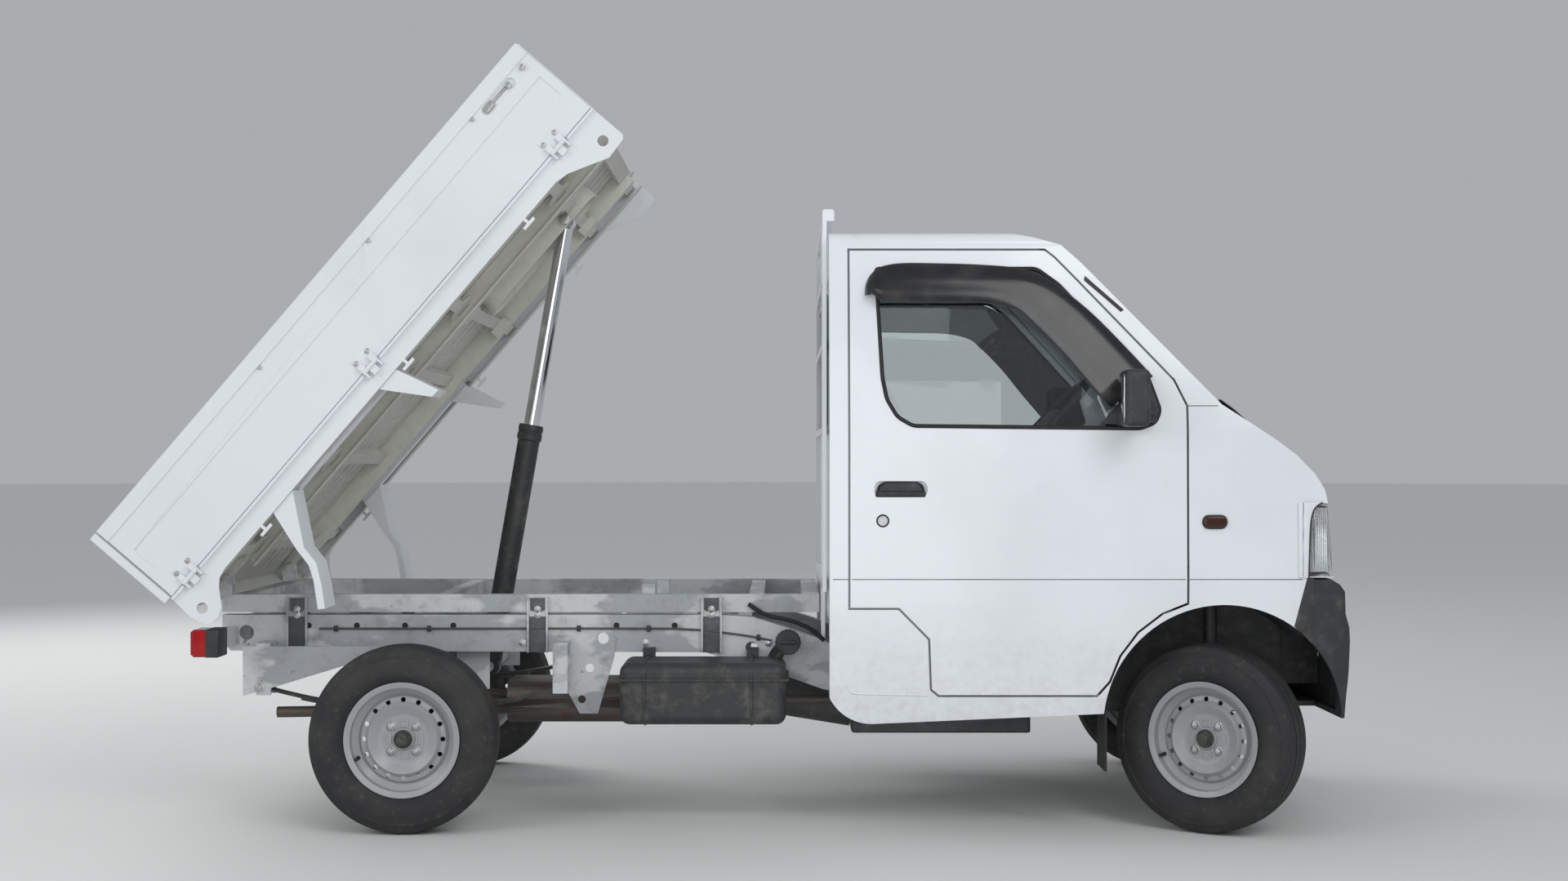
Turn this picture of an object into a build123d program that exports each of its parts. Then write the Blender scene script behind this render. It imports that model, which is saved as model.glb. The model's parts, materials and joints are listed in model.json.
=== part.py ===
import os
from math import atan2, cos, degrees, hypot, radians, sin

from build123d import *

# Kei truck with a tipping bed, in millimetres.
# X points forward, Y to the truck's left, Z up; the ground is at Z = 0.
# Lengths along the truck are given from the rear axle and turned into X by at().
# The bed is held raised and the front wheels stand at full right lock.

os.makedirs("parts", exist_ok=True)

# Wheels and their places
rear_axle_x = -927.0
wheelbase = 2350.0
track = 1290.0
tyre_radius = 271.0
tyre_section = 147.0
tread_width = 112.0
flange_radius = 166.0
bead_seat_radius = 152.4
rim_width = 100.0
spindle_radius = 17.0
bore_gap = 0.1
kingpin_inset = 45.0
steer_lock = 34.0

# Cab
cab_rear = 1224.0
cab_wall = 38.0
bow_radius = 7000.0
cab_corner_radius = 100.0
sill_z = 318.0
sill_rise = 30.0
sill_corner_along = 1345.0
sill_corner_radius = 134.0
floor_z = 470.0
floor_thickness = 28.0
platform_z = 700.0
platform_front = 1710.0
arch_radius = 340.0
arch_centre_z = 321.0
liner_thickness = 12.0
liner_inner_y = 403.0
door_gap = 6.5
door_lip = 22.0
glass_thickness = 5.0
glass_gap = 0.3
seat_gap = 0.3

# Frame
rail_outer_y = 400.0
rail_width = 50.0
rail_plate = 4.0
rail_rear = -596.0
rail_front = 2560.0
rail_top_z = 607.0
rail_bottom_z = 499.0
packing = 8.0
subframe_top_z = 668.0
subframe_front = 1200.0

# Bed, measured level: along from its rear edge, up from its hinge line
bed_rear = -655.0
hinge_line_z = 745.0
bed_length = 1853.0
bed_half_width = 703.0
gate_height = 285.0
gate_thickness = 28.0
gate_lift = 2.0
tailgate_thickness = 24.0
gate_axis_out = 11.0
gate_axis_drop = 4.0
bed_pivot = (-585.0, 707.0)
bed_raise = 49.4
pivot_pin_radius = 12.0

# Tipping ram
ram_foot = (150.7, 413.0)
ram_eye_along = 1567.0
ram_eye_drop = 48.0
barrel_radius = 35.0
barrel_length = 782.0
rod_radius = 25.0
rod_length = 740.0


def at(along):
    return rear_axle_x + along


front_axle_x = at(wheelbase)
wheel_y = track / 2
kingpin_y = wheel_y - kingpin_inset


def write(piece, name):
    piece.part.label = name
    export_step(piece.part, "parts/" + name + ".step")


def box_between(low, high, mode=Mode.ADD):
    # A block from its low corner to its high corner
    size = [b - a for a, b in zip(low, high)]
    centre = [(a + b) / 2 for a, b in zip(low, high)]
    with Locations(tuple(centre)):
        Box(*size, mode=mode)


def mirrored_boxes(low, high, mode=Mode.ADD):
    # The same block on the right and on the left
    box_between(low, high, mode)
    box_between((low[0], -high[1], low[2]), (high[0], -low[1], high[2]), mode)


def rod_between(start, end, radius, mode=Mode.ADD):
    # A round bar from one point to another
    run = Vector(*end) - Vector(*start)
    with BuildSketch(Plane(origin=start, z_dir=run)) as disc:
        Circle(radius)
    extrude(disc.sketch, amount=run.length, mode=mode)


def side_face(points, y=0.0, grow=0.0):
    # A side-view outline, along the truck and up, standing at one Y
    with BuildSketch(Plane.XZ.offset(-y)) as face:
        with BuildLine():
            Polyline(*[(at(along), z) for along, z in points], close=True)
        make_face()
        if grow:
            offset(amount=grow, kind=Kind.INTERSECTION)
    return face.sketch


def side_prism(points, low_y, high_y, mode=Mode.ADD, grow=0.0):
    extrude(side_face(points, high_y, grow), amount=high_y - low_y, mode=mode)


# Chassis frame: two channel rails, cross-members, hangers and the ram's cross tube

rail_outline = [
    (rail_rear + 24, rail_bottom_z), (858, 494), (959, 459), (1074, 432), (1212, 383), (1420, 340),
    (rail_front, 330), (rail_front, 430), (1420, 430), (1212, 531), (1146, 553), (1074, 577),
    (1003, 600), (900, rail_top_z), (rail_rear, rail_top_z), (rail_rear, rail_bottom_z + 32),
]
# along, low Z, high Z, width along the truck
cross_members = [
    (-560, 515, 590, 50), (-300, 515, 590, 40), (800, 512, 592, 45), (970, 500, 580, 45),
    (2050, 345, 415, 50), (2520, 345, 415, 60),
]
# along of each spring hanger and its spring eye's Z
spring_eyes = [(-450, 395), (430, 400)]
spring_inner_y = 430.0
spring_width = 50.0
hanger_plate = 7.7
eye_radius = 14.0
ram_tube_radius = 17.0
ram_hanger_length = 100.0
# along, Z and radius of the holes through the rails' webs
web_holes = [(-523, 554, 22), (550, 536, 17), (996, 508, 18)]
# plate outside the rear end of each spring
rear_spring_plate = [(-511, 520), (-511, 373), (-441, 392), (-186, 470), (-94, 520)]
mid_bracket = [(408, 540), (588, 540), (584, 482), (534, 310), (480, 310), (435, 391), (408, 482)]
mid_bracket_holes = [(510, 447, 13), (486, 353, 12)]
bracket_plate = 4.0

with BuildPart() as chassis_frame:
    for side in (-1, 1):
        low_y = min(side * rail_outer_y, side * (rail_outer_y - rail_width))
        side_prism(rail_outline, low_y, low_y + rail_width)
        open_low = low_y + rail_plate if side < 0 else low_y
        side_prism(rail_outline, open_low, open_low + rail_width - rail_plate, Mode.SUBTRACT, -rail_plate)
    for along, low_z, high_z, width in cross_members:
        reach = rail_outer_y - rail_plate
        box_between((at(along) - width / 2, -reach, low_z), (at(along) + width / 2, reach, high_z))
        inner = 3
        box_between(
            (at(along) - width / 2 + inner, -reach, low_z + inner),
            (at(along) + width / 2, reach, high_z - inner),
            Mode.SUBTRACT,
        )
    for along, eye_z in spring_eyes:
        for side in (-1, 1):
            spring_low = min(side * spring_inner_y, side * (spring_inner_y + spring_width))
            plate_lows = [spring_low - seat_gap - hanger_plate, spring_low + spring_width + seat_gap]
            for low in plate_lows:
                box_between((at(along) - 22, low, eye_z - 20),
                            (at(along) + 22, low + hanger_plate, rail_bottom_z + 30))
            if along < 0:
                outer_low = plate_lows[0] if side < 0 else plate_lows[1]
                side_prism(rear_spring_plate, outer_low, outer_low + hanger_plate)
            rod_between(
                (at(along), spring_low - 8, eye_z), (at(along), spring_low + spring_width + 8, eye_z), 8
            )
            reach_low = min(side * (rail_outer_y - 4), side * (spring_inner_y + spring_width + 8))
            reach_high = max(side * (rail_outer_y - 4), side * (spring_inner_y + spring_width + 8))
            box_between((at(along) - 22, reach_low, rail_bottom_z + 4),
                        (at(along) + 22, reach_high, rail_bottom_z + 30))
    mirrored_boxes(
        (at(ram_foot[0]) - ram_hanger_length / 2, rail_outer_y - rail_width - 8, ram_foot[1] - 35),
        (at(ram_foot[0]) + ram_hanger_length / 2, rail_outer_y - rail_width + 1, rail_top_z),
    )
    ram_tube_reach = rail_outer_y - rail_width - 4
    rod_between(
        (at(ram_foot[0]), -ram_tube_reach, ram_foot[1]), (at(ram_foot[0]), ram_tube_reach, ram_foot[1]),
        ram_tube_radius,
    )
    for along in (1500, 2450):
        for y in (-375, 375):
            rod_between((at(along), y, 429), (at(along), y, floor_z - floor_thickness), 26)
    side_prism(mid_bracket, -rail_outer_y - bracket_plate, -rail_outer_y + 1)
    for along, z, radius in mid_bracket_holes:
        rod_between((at(along), -rail_outer_y - 10, z), (at(along), -rail_outer_y + 10, z), radius, Mode.SUBTRACT)
    for along, z, radius in web_holes:
        for side in (-1, 1):
            rod_between((at(along), side * (rail_outer_y + 10), z),
                        (at(along), side * (rail_outer_y - rail_plate - 6), z), radius, Mode.SUBTRACT)
write(chassis_frame, "chassis_frame")

# Tipping subframe on the chassis, with its clamps and rear hinge brackets

clamp_stations = (-370, 353, 876)
clamp_width = 60.0
clamp_window = 36.0
clamp_window_low_z = 616.0
rest_rear = 664.0
rest_front = 746.0
hinge_plates = ((360, 372), (392, 404))
hinge_plate_radius = 19.0

with BuildPart() as bed_subframe:
    mirrored_boxes(
        (at(rail_rear), rail_outer_y - 40, rail_top_z + packing),
        (at(subframe_front), rail_outer_y, subframe_top_z),
    )
    for along, width in ((-555, 50), (60, 40), (1010, 45), (subframe_front - 25, 50)):
        box_between(
            (at(along) - width / 2, -rail_outer_y + 1, rail_top_z + packing + 4),
            (at(along) + width / 2, rail_outer_y - 1, subframe_top_z - 3),
        )
    for along in clamp_stations:
        mirrored_boxes(
            (at(along) - clamp_width / 2, rail_outer_y - 40, rail_top_z),
            (at(along) + clamp_width / 2, rail_outer_y, rail_top_z + packing),
        )
        mirrored_boxes(
            (at(along) - clamp_width / 2, rail_outer_y, rail_bottom_z + 14),
            (at(along) + clamp_width / 2, rail_outer_y + 6, subframe_top_z - 12),
        )
        mirrored_boxes(
            (at(along) - clamp_window / 2, rail_outer_y, clamp_window_low_z),
            (at(along) + clamp_window / 2, rail_outer_y + 7, clamp_window_low_z + clamp_window - 4), Mode.SUBTRACT,
        )
    box_between((at(rest_rear), -rail_outer_y + 39, subframe_top_z - 20), (at(rest_front), -320, subframe_top_z - 2))
    for low, high, rise in ((rest_rear, rest_rear + 40, 28), (rest_front - 36, rest_front, 39)):
        box_between((at(low), -352, subframe_top_z - 10), (at(high), -320, subframe_top_z + rise))
    for low_y, high_y in hinge_plates:
        for side in (-1, 1):
            near, far = sorted((side * low_y, side * high_y))
            rod_between(
                (at(bed_pivot[0]), near, bed_pivot[1]), (at(bed_pivot[0]), far, bed_pivot[1]),
                hinge_plate_radius,
            )
            box_between(
                (at(bed_pivot[0]) - hinge_plate_radius, near, subframe_top_z - 6),
                (at(bed_pivot[0]) + hinge_plate_radius, far, bed_pivot[1]),
            )
    for side in (-1, 1):
        near, far = sorted((side * (hinge_plates[0][0] - 4), side * (hinge_plates[1][1] + 4)))
        rod_between(
            (at(bed_pivot[0]), near, bed_pivot[1]), (at(bed_pivot[0]), far, bed_pivot[1]),
            pivot_pin_radius,
        )
write(bed_subframe, "bed_subframe")

# Cab: a bowed form that walls, doors, glass, visors and bumper are cut from

bow_centre_x = at(2745) - bow_radius
bow_half_angle = 8.0
# centre line of the cab's skin from the lower rear corner round to the front
cab_side = [
    (1200, sill_z), (2640, sill_z), (2694, 735), (2679, 955), (2671, 990), (2645, 1032), (2594, 1086),
    (2533, 1132), (2462, 1179), (2381, 1232), (1984, 1642), (1927, 1694), (1851, 1716), (1775, 1733),
    (1474, 1748), (1200, 1750),
]
# half width of the cab against height
cab_widths = [(sill_z, 702), (403, 718), (560, 731), (732, 737), (1165, 729), (1600, 668), (1690, 648)]
roof_shoulder = (638, 1718)
roof_edge = (606, 1731)
roof_crown_z = 1750.0
bumper_side = [
    (2500, 335), (2731, 335), (2734, 405), (2741, 473), (2745, 557), (2743, 595), (2731, 634),
    (2729, 698), (2713, 719), (2690, 733), (2500, 733),
]


def bowed_form(outline, inset, corner_radius):
    # An outline of the side view turned about a far vertical axis, trimmed to the cab's front view
    turn = radians(bow_half_angle)
    bow_plane = Plane(
        origin=(bow_centre_x, 0, 0), x_dir=(cos(turn), -sin(turn), 0), z_dir=(-sin(turn), -cos(turn), 0)
    )
    with BuildPart() as form:
        with BuildSketch(bow_plane):
            with BuildLine():
                Polyline(*[(at(along) - bow_centre_x, z) for along, z in outline], close=True)
            make_face()
            if inset:
                offset(amount=-inset, kind=Kind.INTERSECTION)
        revolve(axis=Axis((bow_centre_x, 0, 0), (0, 0, 1)), revolution_arc=2 * bow_half_angle)
        walls = [(width - inset, z) for z, width in cab_widths]
        shoulder = (roof_shoulder[0] - inset, roof_shoulder[1] - inset)
        edge = (roof_edge[0] - inset, roof_edge[1] - inset)
        with BuildSketch(Plane.YZ.offset(at(cab_rear) + inset)):
            with BuildLine():
                Polyline(*[(-y, z) for y, z in reversed(walls)], *walls)
                ThreePointArc(walls[-1], shoulder, edge)
                ThreePointArc(edge, (0, roof_crown_z - inset), (-edge[0], edge[1]))
                ThreePointArc((-edge[0], edge[1]), (-shoulder[0], shoulder[1]), (-walls[-1][0], walls[-1][1]))
            make_face()
        extrude(amount=1700, mode=Mode.INTERSECT)
        plan_length = 2 * (at(2745) - at(cab_rear))
        with BuildSketch(Plane.XY):
            with Locations((at(cab_rear), 0)):
                RectangleRounded(plan_length, 2 * (738 - inset), corner_radius - inset / 2)
        extrude(amount=2000, mode=Mode.INTERSECT)
    return form.part


cab_skin = bowed_form(cab_side, 0, cab_corner_radius)
cab_inside = bowed_form(cab_side, cab_wall, cab_corner_radius)
cab_seat = bowed_form(cab_side, door_lip + door_gap, cab_corner_radius)
door_rim_inside = bowed_form(cab_side, door_lip, cab_corner_radius)

door_outline = [
    (1283, 1677), (1283, 653), (1422, 653), (1510, 564), (1516, 420), (1536, 403), (1985, 403),
    (2020, 443), (2048, 516), (2099, 585), (2169, 639), (2240, 667), (2240, 1227), (2205, 1300),
    (1872, 1655), (1845, 1677),
]
window_outline = [
    (1357, 1624), (1375, 1308), (1387, 1247), (1417, 1196), (1461, 1170), (2110, 1163), (2152, 1180),
    (2166, 1215), (2134, 1308), (1880, 1580), (1820, 1624),
]
windscreen_corners = [(-640, 1262), (640, 1262), (590, 1610), (-590, 1610)]
rear_window_corners = [(-500, 1180), (500, 1180), (480, 1560), (-480, 1560)]
lamp_low = (2560, 470, 742)
lamp_high = (2760, 740, 950)
rear_notch_y = 640.0
rear_notch_z = 610.0
front_panel_low_z = 739.0
front_panel_high_z = 1190.0
front_panel_half_width = 466.0
arch_x = 2347.0

# Door hinge line: inside the skin, leaning with it, behind the door's front edge
door_front = 2240.0
hinge_behind_edge = 24.0
hinge_along = door_front - hinge_behind_edge
hinge_inset = 8.0
hinge_levels = (780.0, 1120.0)
hinge_pin_radius = 4.0


def skin_y(level):
    # Half width of the cab's side at one height
    for (low_z, low_y), (high_z, high_y) in zip(cab_widths, cab_widths[1:]):
        if level <= high_z:
            return low_y + (high_y - low_y) * (level - low_z) / (high_z - low_z)


lean_low, lean_high = cab_widths[3], cab_widths[4]
hinge_lean = (lean_high[1] - lean_low[1]) / (lean_high[0] - lean_low[0])


def hinge_y(level):
    # Half distance between the two hinge lines at one height
    return lean_low[1] - hinge_inset + hinge_lean * (level - lean_low[0])


def hinge_rod(side, low_z, high_z, radius, mode=Mode.ADD):
    rod_between((at(hinge_along), side * hinge_y(low_z), low_z), (at(hinge_along), side * hinge_y(high_z), high_z),
                radius, mode)


def right_cutter(points, grow=0.0):
    # A side-view outline pushed through the right wall of the cab
    with BuildPart() as cutter:
        side_prism(points, -880, -480, grow=grow)
    return cutter.part


def front_cutter(corners, low_along, high_along, grow=0.0):
    # A front-view outline pushed along the truck
    with BuildPart() as cutter:
        with BuildSketch(Plane.YZ.offset(at(low_along))):
            with BuildLine():
                Polyline(*corners, close=True)
            make_face()
            if grow:
                offset(amount=grow, kind=Kind.INTERSECTION)
            fillet(vertices(), radius=40)
        extrude(amount=high_along - low_along)
    return cutter.part


def both_sides(shape):
    with BuildPart() as pair:
        add(shape)
        mirror(shape, about=Plane.XZ)
    return pair.part


with BuildPart() as arch_cut:
    rod_between((at(arch_x), -900, arch_centre_z), (at(arch_x), -liner_inner_y - liner_thickness, arch_centre_z),
                arch_radius)
    box_between((at(arch_x) - arch_radius, -900, 0),
                (at(arch_x) + arch_radius, -liner_inner_y - liner_thickness, arch_centre_z))
with BuildPart() as arch_keep:
    reach = arch_radius + liner_thickness
    rod_between((at(arch_x), -900, arch_centre_z), (at(arch_x), -liner_inner_y, arch_centre_z), reach)
    box_between((at(arch_x) - reach, -900, 0), (at(arch_x) + reach, -liner_inner_y, arch_centre_z))

with BuildPart() as cab_room:
    add(cab_inside)
    side_prism([
        (1000, platform_z), (platform_front, platform_z), (platform_front, floor_z), (2900, floor_z),
        (2900, 2000), (1000, 2000),
    ], -900, 900, Mode.INTERSECT)
    add(both_sides(arch_keep.part), mode=Mode.SUBTRACT)
with BuildPart() as cab_underside:
    add(cab_inside)
    under = floor_thickness
    side_prism([
        (1000, 0), (2900, 0), (2900, floor_z - under), (platform_front - under, floor_z - under),
        (platform_front - under, platform_z - under), (1000, platform_z - under),
    ], -900, 900, Mode.INTERSECT)
    box_between((at(cab_rear + cab_wall), -650, 200), (at(2580), 650, sill_z + cab_wall + 10))
    add(both_sides(arch_keep.part), mode=Mode.SUBTRACT)

# The door shuts against a lip: the opening is smaller on the inside than on the outside
with BuildPart() as cab_middle:
    with BuildSketch(Plane.YZ.offset(at(1100))):
        with BuildLine():
            Polyline(*[(-(width - cab_wall - 6), z) for z, width in cab_widths], (0, 1690), (0, sill_z), close=True)
        make_face()
    extrude(amount=1800)
# No lip ahead of the hinge line, where the door's front edge swings inwards
with BuildPart() as door_front_way:
    add(right_cutter(door_outline, door_gap))
    box_between((at(2204), -900, 600), (at(2260), 0, 1400), Mode.INTERSECT)
with BuildPart() as door_hole:
    add(right_cutter(door_outline, door_gap))
    add(cab_seat, mode=Mode.SUBTRACT)
    add(right_cutter(door_outline, -door_lip))
    add(door_front_way.part)
    add(cab_middle.part, mode=Mode.SUBTRACT)

# Under the sill: its rounded rear corner, then a line that rises to the wheel arch
with BuildPart() as sill_cut:
    with BuildSketch(Plane.XZ.offset(-900)):
        with BuildLine():
            arc_x, arc_z = at(sill_corner_along), sill_z + sill_corner_radius
            reach = sill_corner_radius * cos(radians(45))
            arch_edge = at(arch_x - arch_radius + 5)
            ThreePointArc((arc_x - sill_corner_radius, arc_z), (arc_x - reach, arc_z - reach), (arc_x, sill_z))
            Polyline((arc_x, sill_z), (arch_edge, sill_z + sill_rise), (arch_edge, 0), (arc_x - 400, 0),
                     (arc_x - 400, arc_z), (arc_x - sill_corner_radius, arc_z))
        make_face()
    extrude(amount=1800)

with BuildPart() as cab_shell:
    add(cab_skin)
    add(cab_room.part, mode=Mode.SUBTRACT)
    add(cab_underside.part, mode=Mode.SUBTRACT)
    add(both_sides(arch_cut.part), mode=Mode.SUBTRACT)
    add(both_sides(door_hole.part), mode=Mode.SUBTRACT)
    add(front_cutter(windscreen_corners, 1900, 2600), mode=Mode.SUBTRACT)
    add(front_cutter(rear_window_corners, 1100, 1400), mode=Mode.SUBTRACT)
    box_between((at(2582), -800, 200), (at(2900), 800, front_panel_low_z), Mode.SUBTRACT)
    box_between((at(cab_rear) - 10, -rear_notch_y, 200), (at(cab_rear) + cab_wall + 1, rear_notch_y, rear_notch_z),
                Mode.SUBTRACT)
    for level in hinge_levels:
        mirrored_boxes(
            (at(hinge_along) - 10, hinge_y(level) - 60, level - 12),
            (at(hinge_along) + 12, hinge_y(level) - 4, level + 12), Mode.SUBTRACT,
        )
    mirrored_boxes(
        (at(lamp_low[0]), lamp_low[1], lamp_low[2]), (at(lamp_high[0]), lamp_high[1], lamp_high[2]),
        Mode.SUBTRACT,
    )
    box_between(
        (at(2440), -front_panel_half_width, front_panel_low_z),
        (at(2900), front_panel_half_width, front_panel_high_z), Mode.SUBTRACT,
    )
    add(sill_cut.part, mode=Mode.SUBTRACT)
write(cab_shell, "cab_shell")

with BuildPart() as front_panel:
    add(cab_skin)
    add(cab_inside, mode=Mode.SUBTRACT)
    box_between(
        (at(2440), -front_panel_half_width, front_panel_low_z),
        (at(2900), front_panel_half_width, front_panel_high_z), Mode.INTERSECT,
    )
write(front_panel, "front_panel")

glass_face = bowed_form(cab_side, 7, cab_corner_radius)
glass_back = bowed_form(cab_side, 7 + glass_thickness, cab_corner_radius)

with BuildPart() as cab_glass:
    add(front_cutter(windscreen_corners, 1900, 2600, -glass_gap))
    add(front_cutter(rear_window_corners, 1100, 1400, -glass_gap))
    add(glass_face, mode=Mode.INTERSECT)
    add(glass_back, mode=Mode.SUBTRACT)
write(cab_glass, "cab_glass")

with BuildPart() as headlamps:
    mirrored_boxes(
        (at(lamp_low[0]) + 10, lamp_low[1] + glass_gap, lamp_low[2] + glass_gap),
        (at(lamp_high[0]), lamp_high[1], lamp_high[2] - glass_gap),
    )
    add(cab_skin, mode=Mode.INTERSECT)
write(headlamps, "headlamps")

intake_levels = (410.0, 440.0, 470.0)
intake_height = 17.0
intake_half_width = 340.0
bumper_skin = bowed_form(bumper_side, 0, cab_corner_radius)
bumper_inside = bowed_form(bumper_side, 16, cab_corner_radius)
with BuildPart() as front_bumper:
    add(bumper_skin)
    add(bumper_inside, mode=Mode.SUBTRACT)
    box_between((at(2582.3), -800, 300), (at(2800), 800, front_panel_low_z - 1), Mode.INTERSECT)
    add(both_sides(arch_cut.part), mode=Mode.SUBTRACT)
    box_between((at(2560), -640, 352), (at(2700), 640, 700), Mode.SUBTRACT)
    for low_z in intake_levels:
        box_between((at(2690), -intake_half_width, low_z), (at(2800), intake_half_width, low_z + intake_height),
                    Mode.SUBTRACT)
write(front_bumper, "front_bumper")

# Doors, hung on pins inside their front edge

handle_low = (1351.0, 967.0)
handle_high = (1502.0, 1013.0)
with BuildPart() as handle_pocket:
    handle_height = handle_high[1] - handle_low[1]
    with BuildSketch(Plane.XZ.offset(600)):
        with Locations((at((handle_low[0] + handle_high[0]) / 2), (handle_low[1] + handle_high[1]) / 2)):
            RectangleRounded(handle_high[0] - handle_low[0], handle_height, handle_height / 2 - 4)
    extrude(amount=200)
    add(glass_back, mode=Mode.SUBTRACT)
with BuildPart() as door_core:
    add(right_cutter(door_outline, -door_lip - door_gap))
    add(cab_skin, mode=Mode.INTERSECT)
    add(cab_inside, mode=Mode.SUBTRACT)
with BuildPart() as door_right:
    add(right_cutter(door_outline))
    add(cab_skin, mode=Mode.INTERSECT)
    add(door_rim_inside, mode=Mode.SUBTRACT)
    add(door_core.part)
    add(right_cutter(window_outline), mode=Mode.SUBTRACT)
    add(handle_pocket.part, mode=Mode.SUBTRACT)
    for level in hinge_levels:
        box_between((at(hinge_along) - 9, -hinge_y(level) - 5, level - 15), (at(2300), -hinge_y(level) + 90, level + 15),
                    Mode.SUBTRACT)
        hinge_rod(-1, level - 25, level + 25, hinge_pin_radius + bore_gap, Mode.SUBTRACT)
write(door_right, "door_right")

with BuildPart() as door_left:
    mirror(door_right.part, about=Plane.XZ)
write(door_left, "door_left")

with BuildPart() as door_hinges:
    for level in hinge_levels:
        wall_face = skin_y(level + 9) - cab_wall - 0.5
        for side in (-1, 1):
            hinge_rod(side, level - 22, level + 22, hinge_pin_radius)
            near, far = sorted((side * (hinge_y(level) + 2), side * (wall_face - 8)))
            box_between((at(hinge_along) - 4, near, level - 9), (at(hinge_along) + 4, far, level + 9))
            near, far = sorted((side * wall_face, side * (wall_face - 8)))
            box_between((at(hinge_along) - 4, near, level - 9), (at(hinge_along) + 80, far, level + 9))
write(door_hinges, "door_hinges")

door_glass_face = bowed_form(cab_side, 10, cab_corner_radius)
door_glass_back = bowed_form(cab_side, 10 + glass_thickness, cab_corner_radius)
with BuildPart() as door_glass_right:
    add(right_cutter(window_outline, -glass_gap))
    add(door_glass_face, mode=Mode.INTERSECT)
    add(door_glass_back, mode=Mode.SUBTRACT)
write(door_glass_right, "door_glass_right")
with BuildPart() as door_glass_left:
    mirror(door_glass_right.part, about=Plane.XZ)
write(door_glass_left, "door_glass_left")

# Mirrors on the doors' front corners

mirror_foot_low_z = 1178.0
mirror_head_low = (2040.0, 766.0, 1166.0)
mirror_head_high = (2112.0, 884.0, 1326.0)
with BuildPart() as mirror_right:
    box_between((at(mirror_head_low[0]), -mirror_head_high[1], mirror_head_low[2]),
                (at(mirror_head_high[0]), -mirror_head_low[1], mirror_head_high[2]))
    fillet(mirror_right.edges(), radius=18)
    foot_y = skin_y(mirror_foot_low_z) + seat_gap
    box_between((at(2174), -foot_y - 9, mirror_foot_low_z), (at(2206), -foot_y, mirror_foot_low_z + 36))
    rod_between((at(2085), -780, 1196), (at(2190), -foot_y - 10, 1196), 11)
write(mirror_right, "mirror_right")
with BuildPart() as mirror_left:
    mirror(mirror_right.part, about=Plane.XZ)
write(mirror_left, "mirror_left")

# Seats, dashboard, column and steering wheel

with BuildPart() as seats:
    for side in (-1, 1):
        near, far = sorted((side * 95, side * 575))
        side_prism([
            (1300, platform_z), (1700, platform_z), (1780, 800), (1790, 868), (1700, 878), (1420, 852),
            (1360, 1180), (1345, 1440), (1275, 1440), (1275, 1100), (1300, 840),
        ], near, far)
write(seats, "seats")

wheel_centre = (1886.0, -350.0, 1180.0)
column_tilt = 44.0
column_run = Vector(cos(radians(column_tilt)), 0, -sin(radians(column_tilt)))
steering_rim_radius = 178.0
steering_grip = 12.0
column_radius = 24.0
shaft_radius = 9.0
wheel_hub = Vector(at(wheel_centre[0]), wheel_centre[1], wheel_centre[2])


def along_column(distance):
    return wheel_hub + column_run * distance


with BuildPart() as dashboard:
    side_prism([
        (2110, 840), (2330, 760), (2395, 1159.3), (2320, 1172), (2120, 1150), (2085, 1090), (2085, 960),
    ], -600, 600)
    rod_between(along_column(60), along_column(430), column_radius + bore_gap, Mode.SUBTRACT)
write(dashboard, "dashboard")

with BuildPart() as steering_column:
    rod_between(along_column(70), along_column(400), column_radius)
    rod_between(along_column(60), along_column(200), shaft_radius + bore_gap, Mode.SUBTRACT)
write(steering_column, "steering_column")

wheel_plane = Plane(origin=wheel_hub, x_dir=(sin(radians(column_tilt)), 0, cos(radians(column_tilt))),
                    z_dir=-column_run)
with BuildPart() as steering_wheel:
    with BuildSketch(Plane(origin=wheel_hub, x_dir=wheel_plane.x_dir, z_dir=wheel_plane.y_dir)):
        with Locations((steering_rim_radius, 0)):
            Circle(steering_grip)
    revolve(axis=Axis(wheel_hub, wheel_plane.z_dir))
    with BuildSketch(wheel_plane.offset(-30)):
        Circle(52)
    extrude(amount=24)
    for turn in (90, 210, 330):
        reach = steering_rim_radius - 2
        tip = (wheel_hub + wheel_plane.x_dir * (reach * cos(radians(turn)))
               + wheel_plane.y_dir * (reach * sin(radians(turn))))
        rod_between(wheel_hub + column_run * 18, tip, 9)
    rod_between(along_column(28), along_column(190), shaft_radius)
write(steering_wheel, "steering_wheel")

# Guard frame behind the cab

guard_rear = 1206.0
guard_plate = 12.0
guard_foot_z = 533.4
with BuildPart() as cab_guard:
    mirrored_boxes((at(guard_rear), 575, subframe_top_z + 22), (at(guard_rear + guard_plate), 605, 1780))
    mirrored_boxes((at(guard_rear), 362, guard_foot_z), (at(guard_rear + guard_plate), 392, 1780))
    for low_z, high_z in ((subframe_top_z + 22, subframe_top_z + 52), (1150, 1170), (1400, 1420), (1590, 1610)):
        box_between((at(guard_rear), -604, low_z), (at(guard_rear + guard_plate), 604, high_z))
    box_between((at(guard_rear), -605, 1768), (at(guard_rear + 34), 605, 1802))
    fillet(cab_guard.edges().filter_by(Axis.Y).group_by(Axis.Z)[-1], radius=8)
write(cab_guard, "cab_guard")

# Rear axle, springs, driveline

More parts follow.
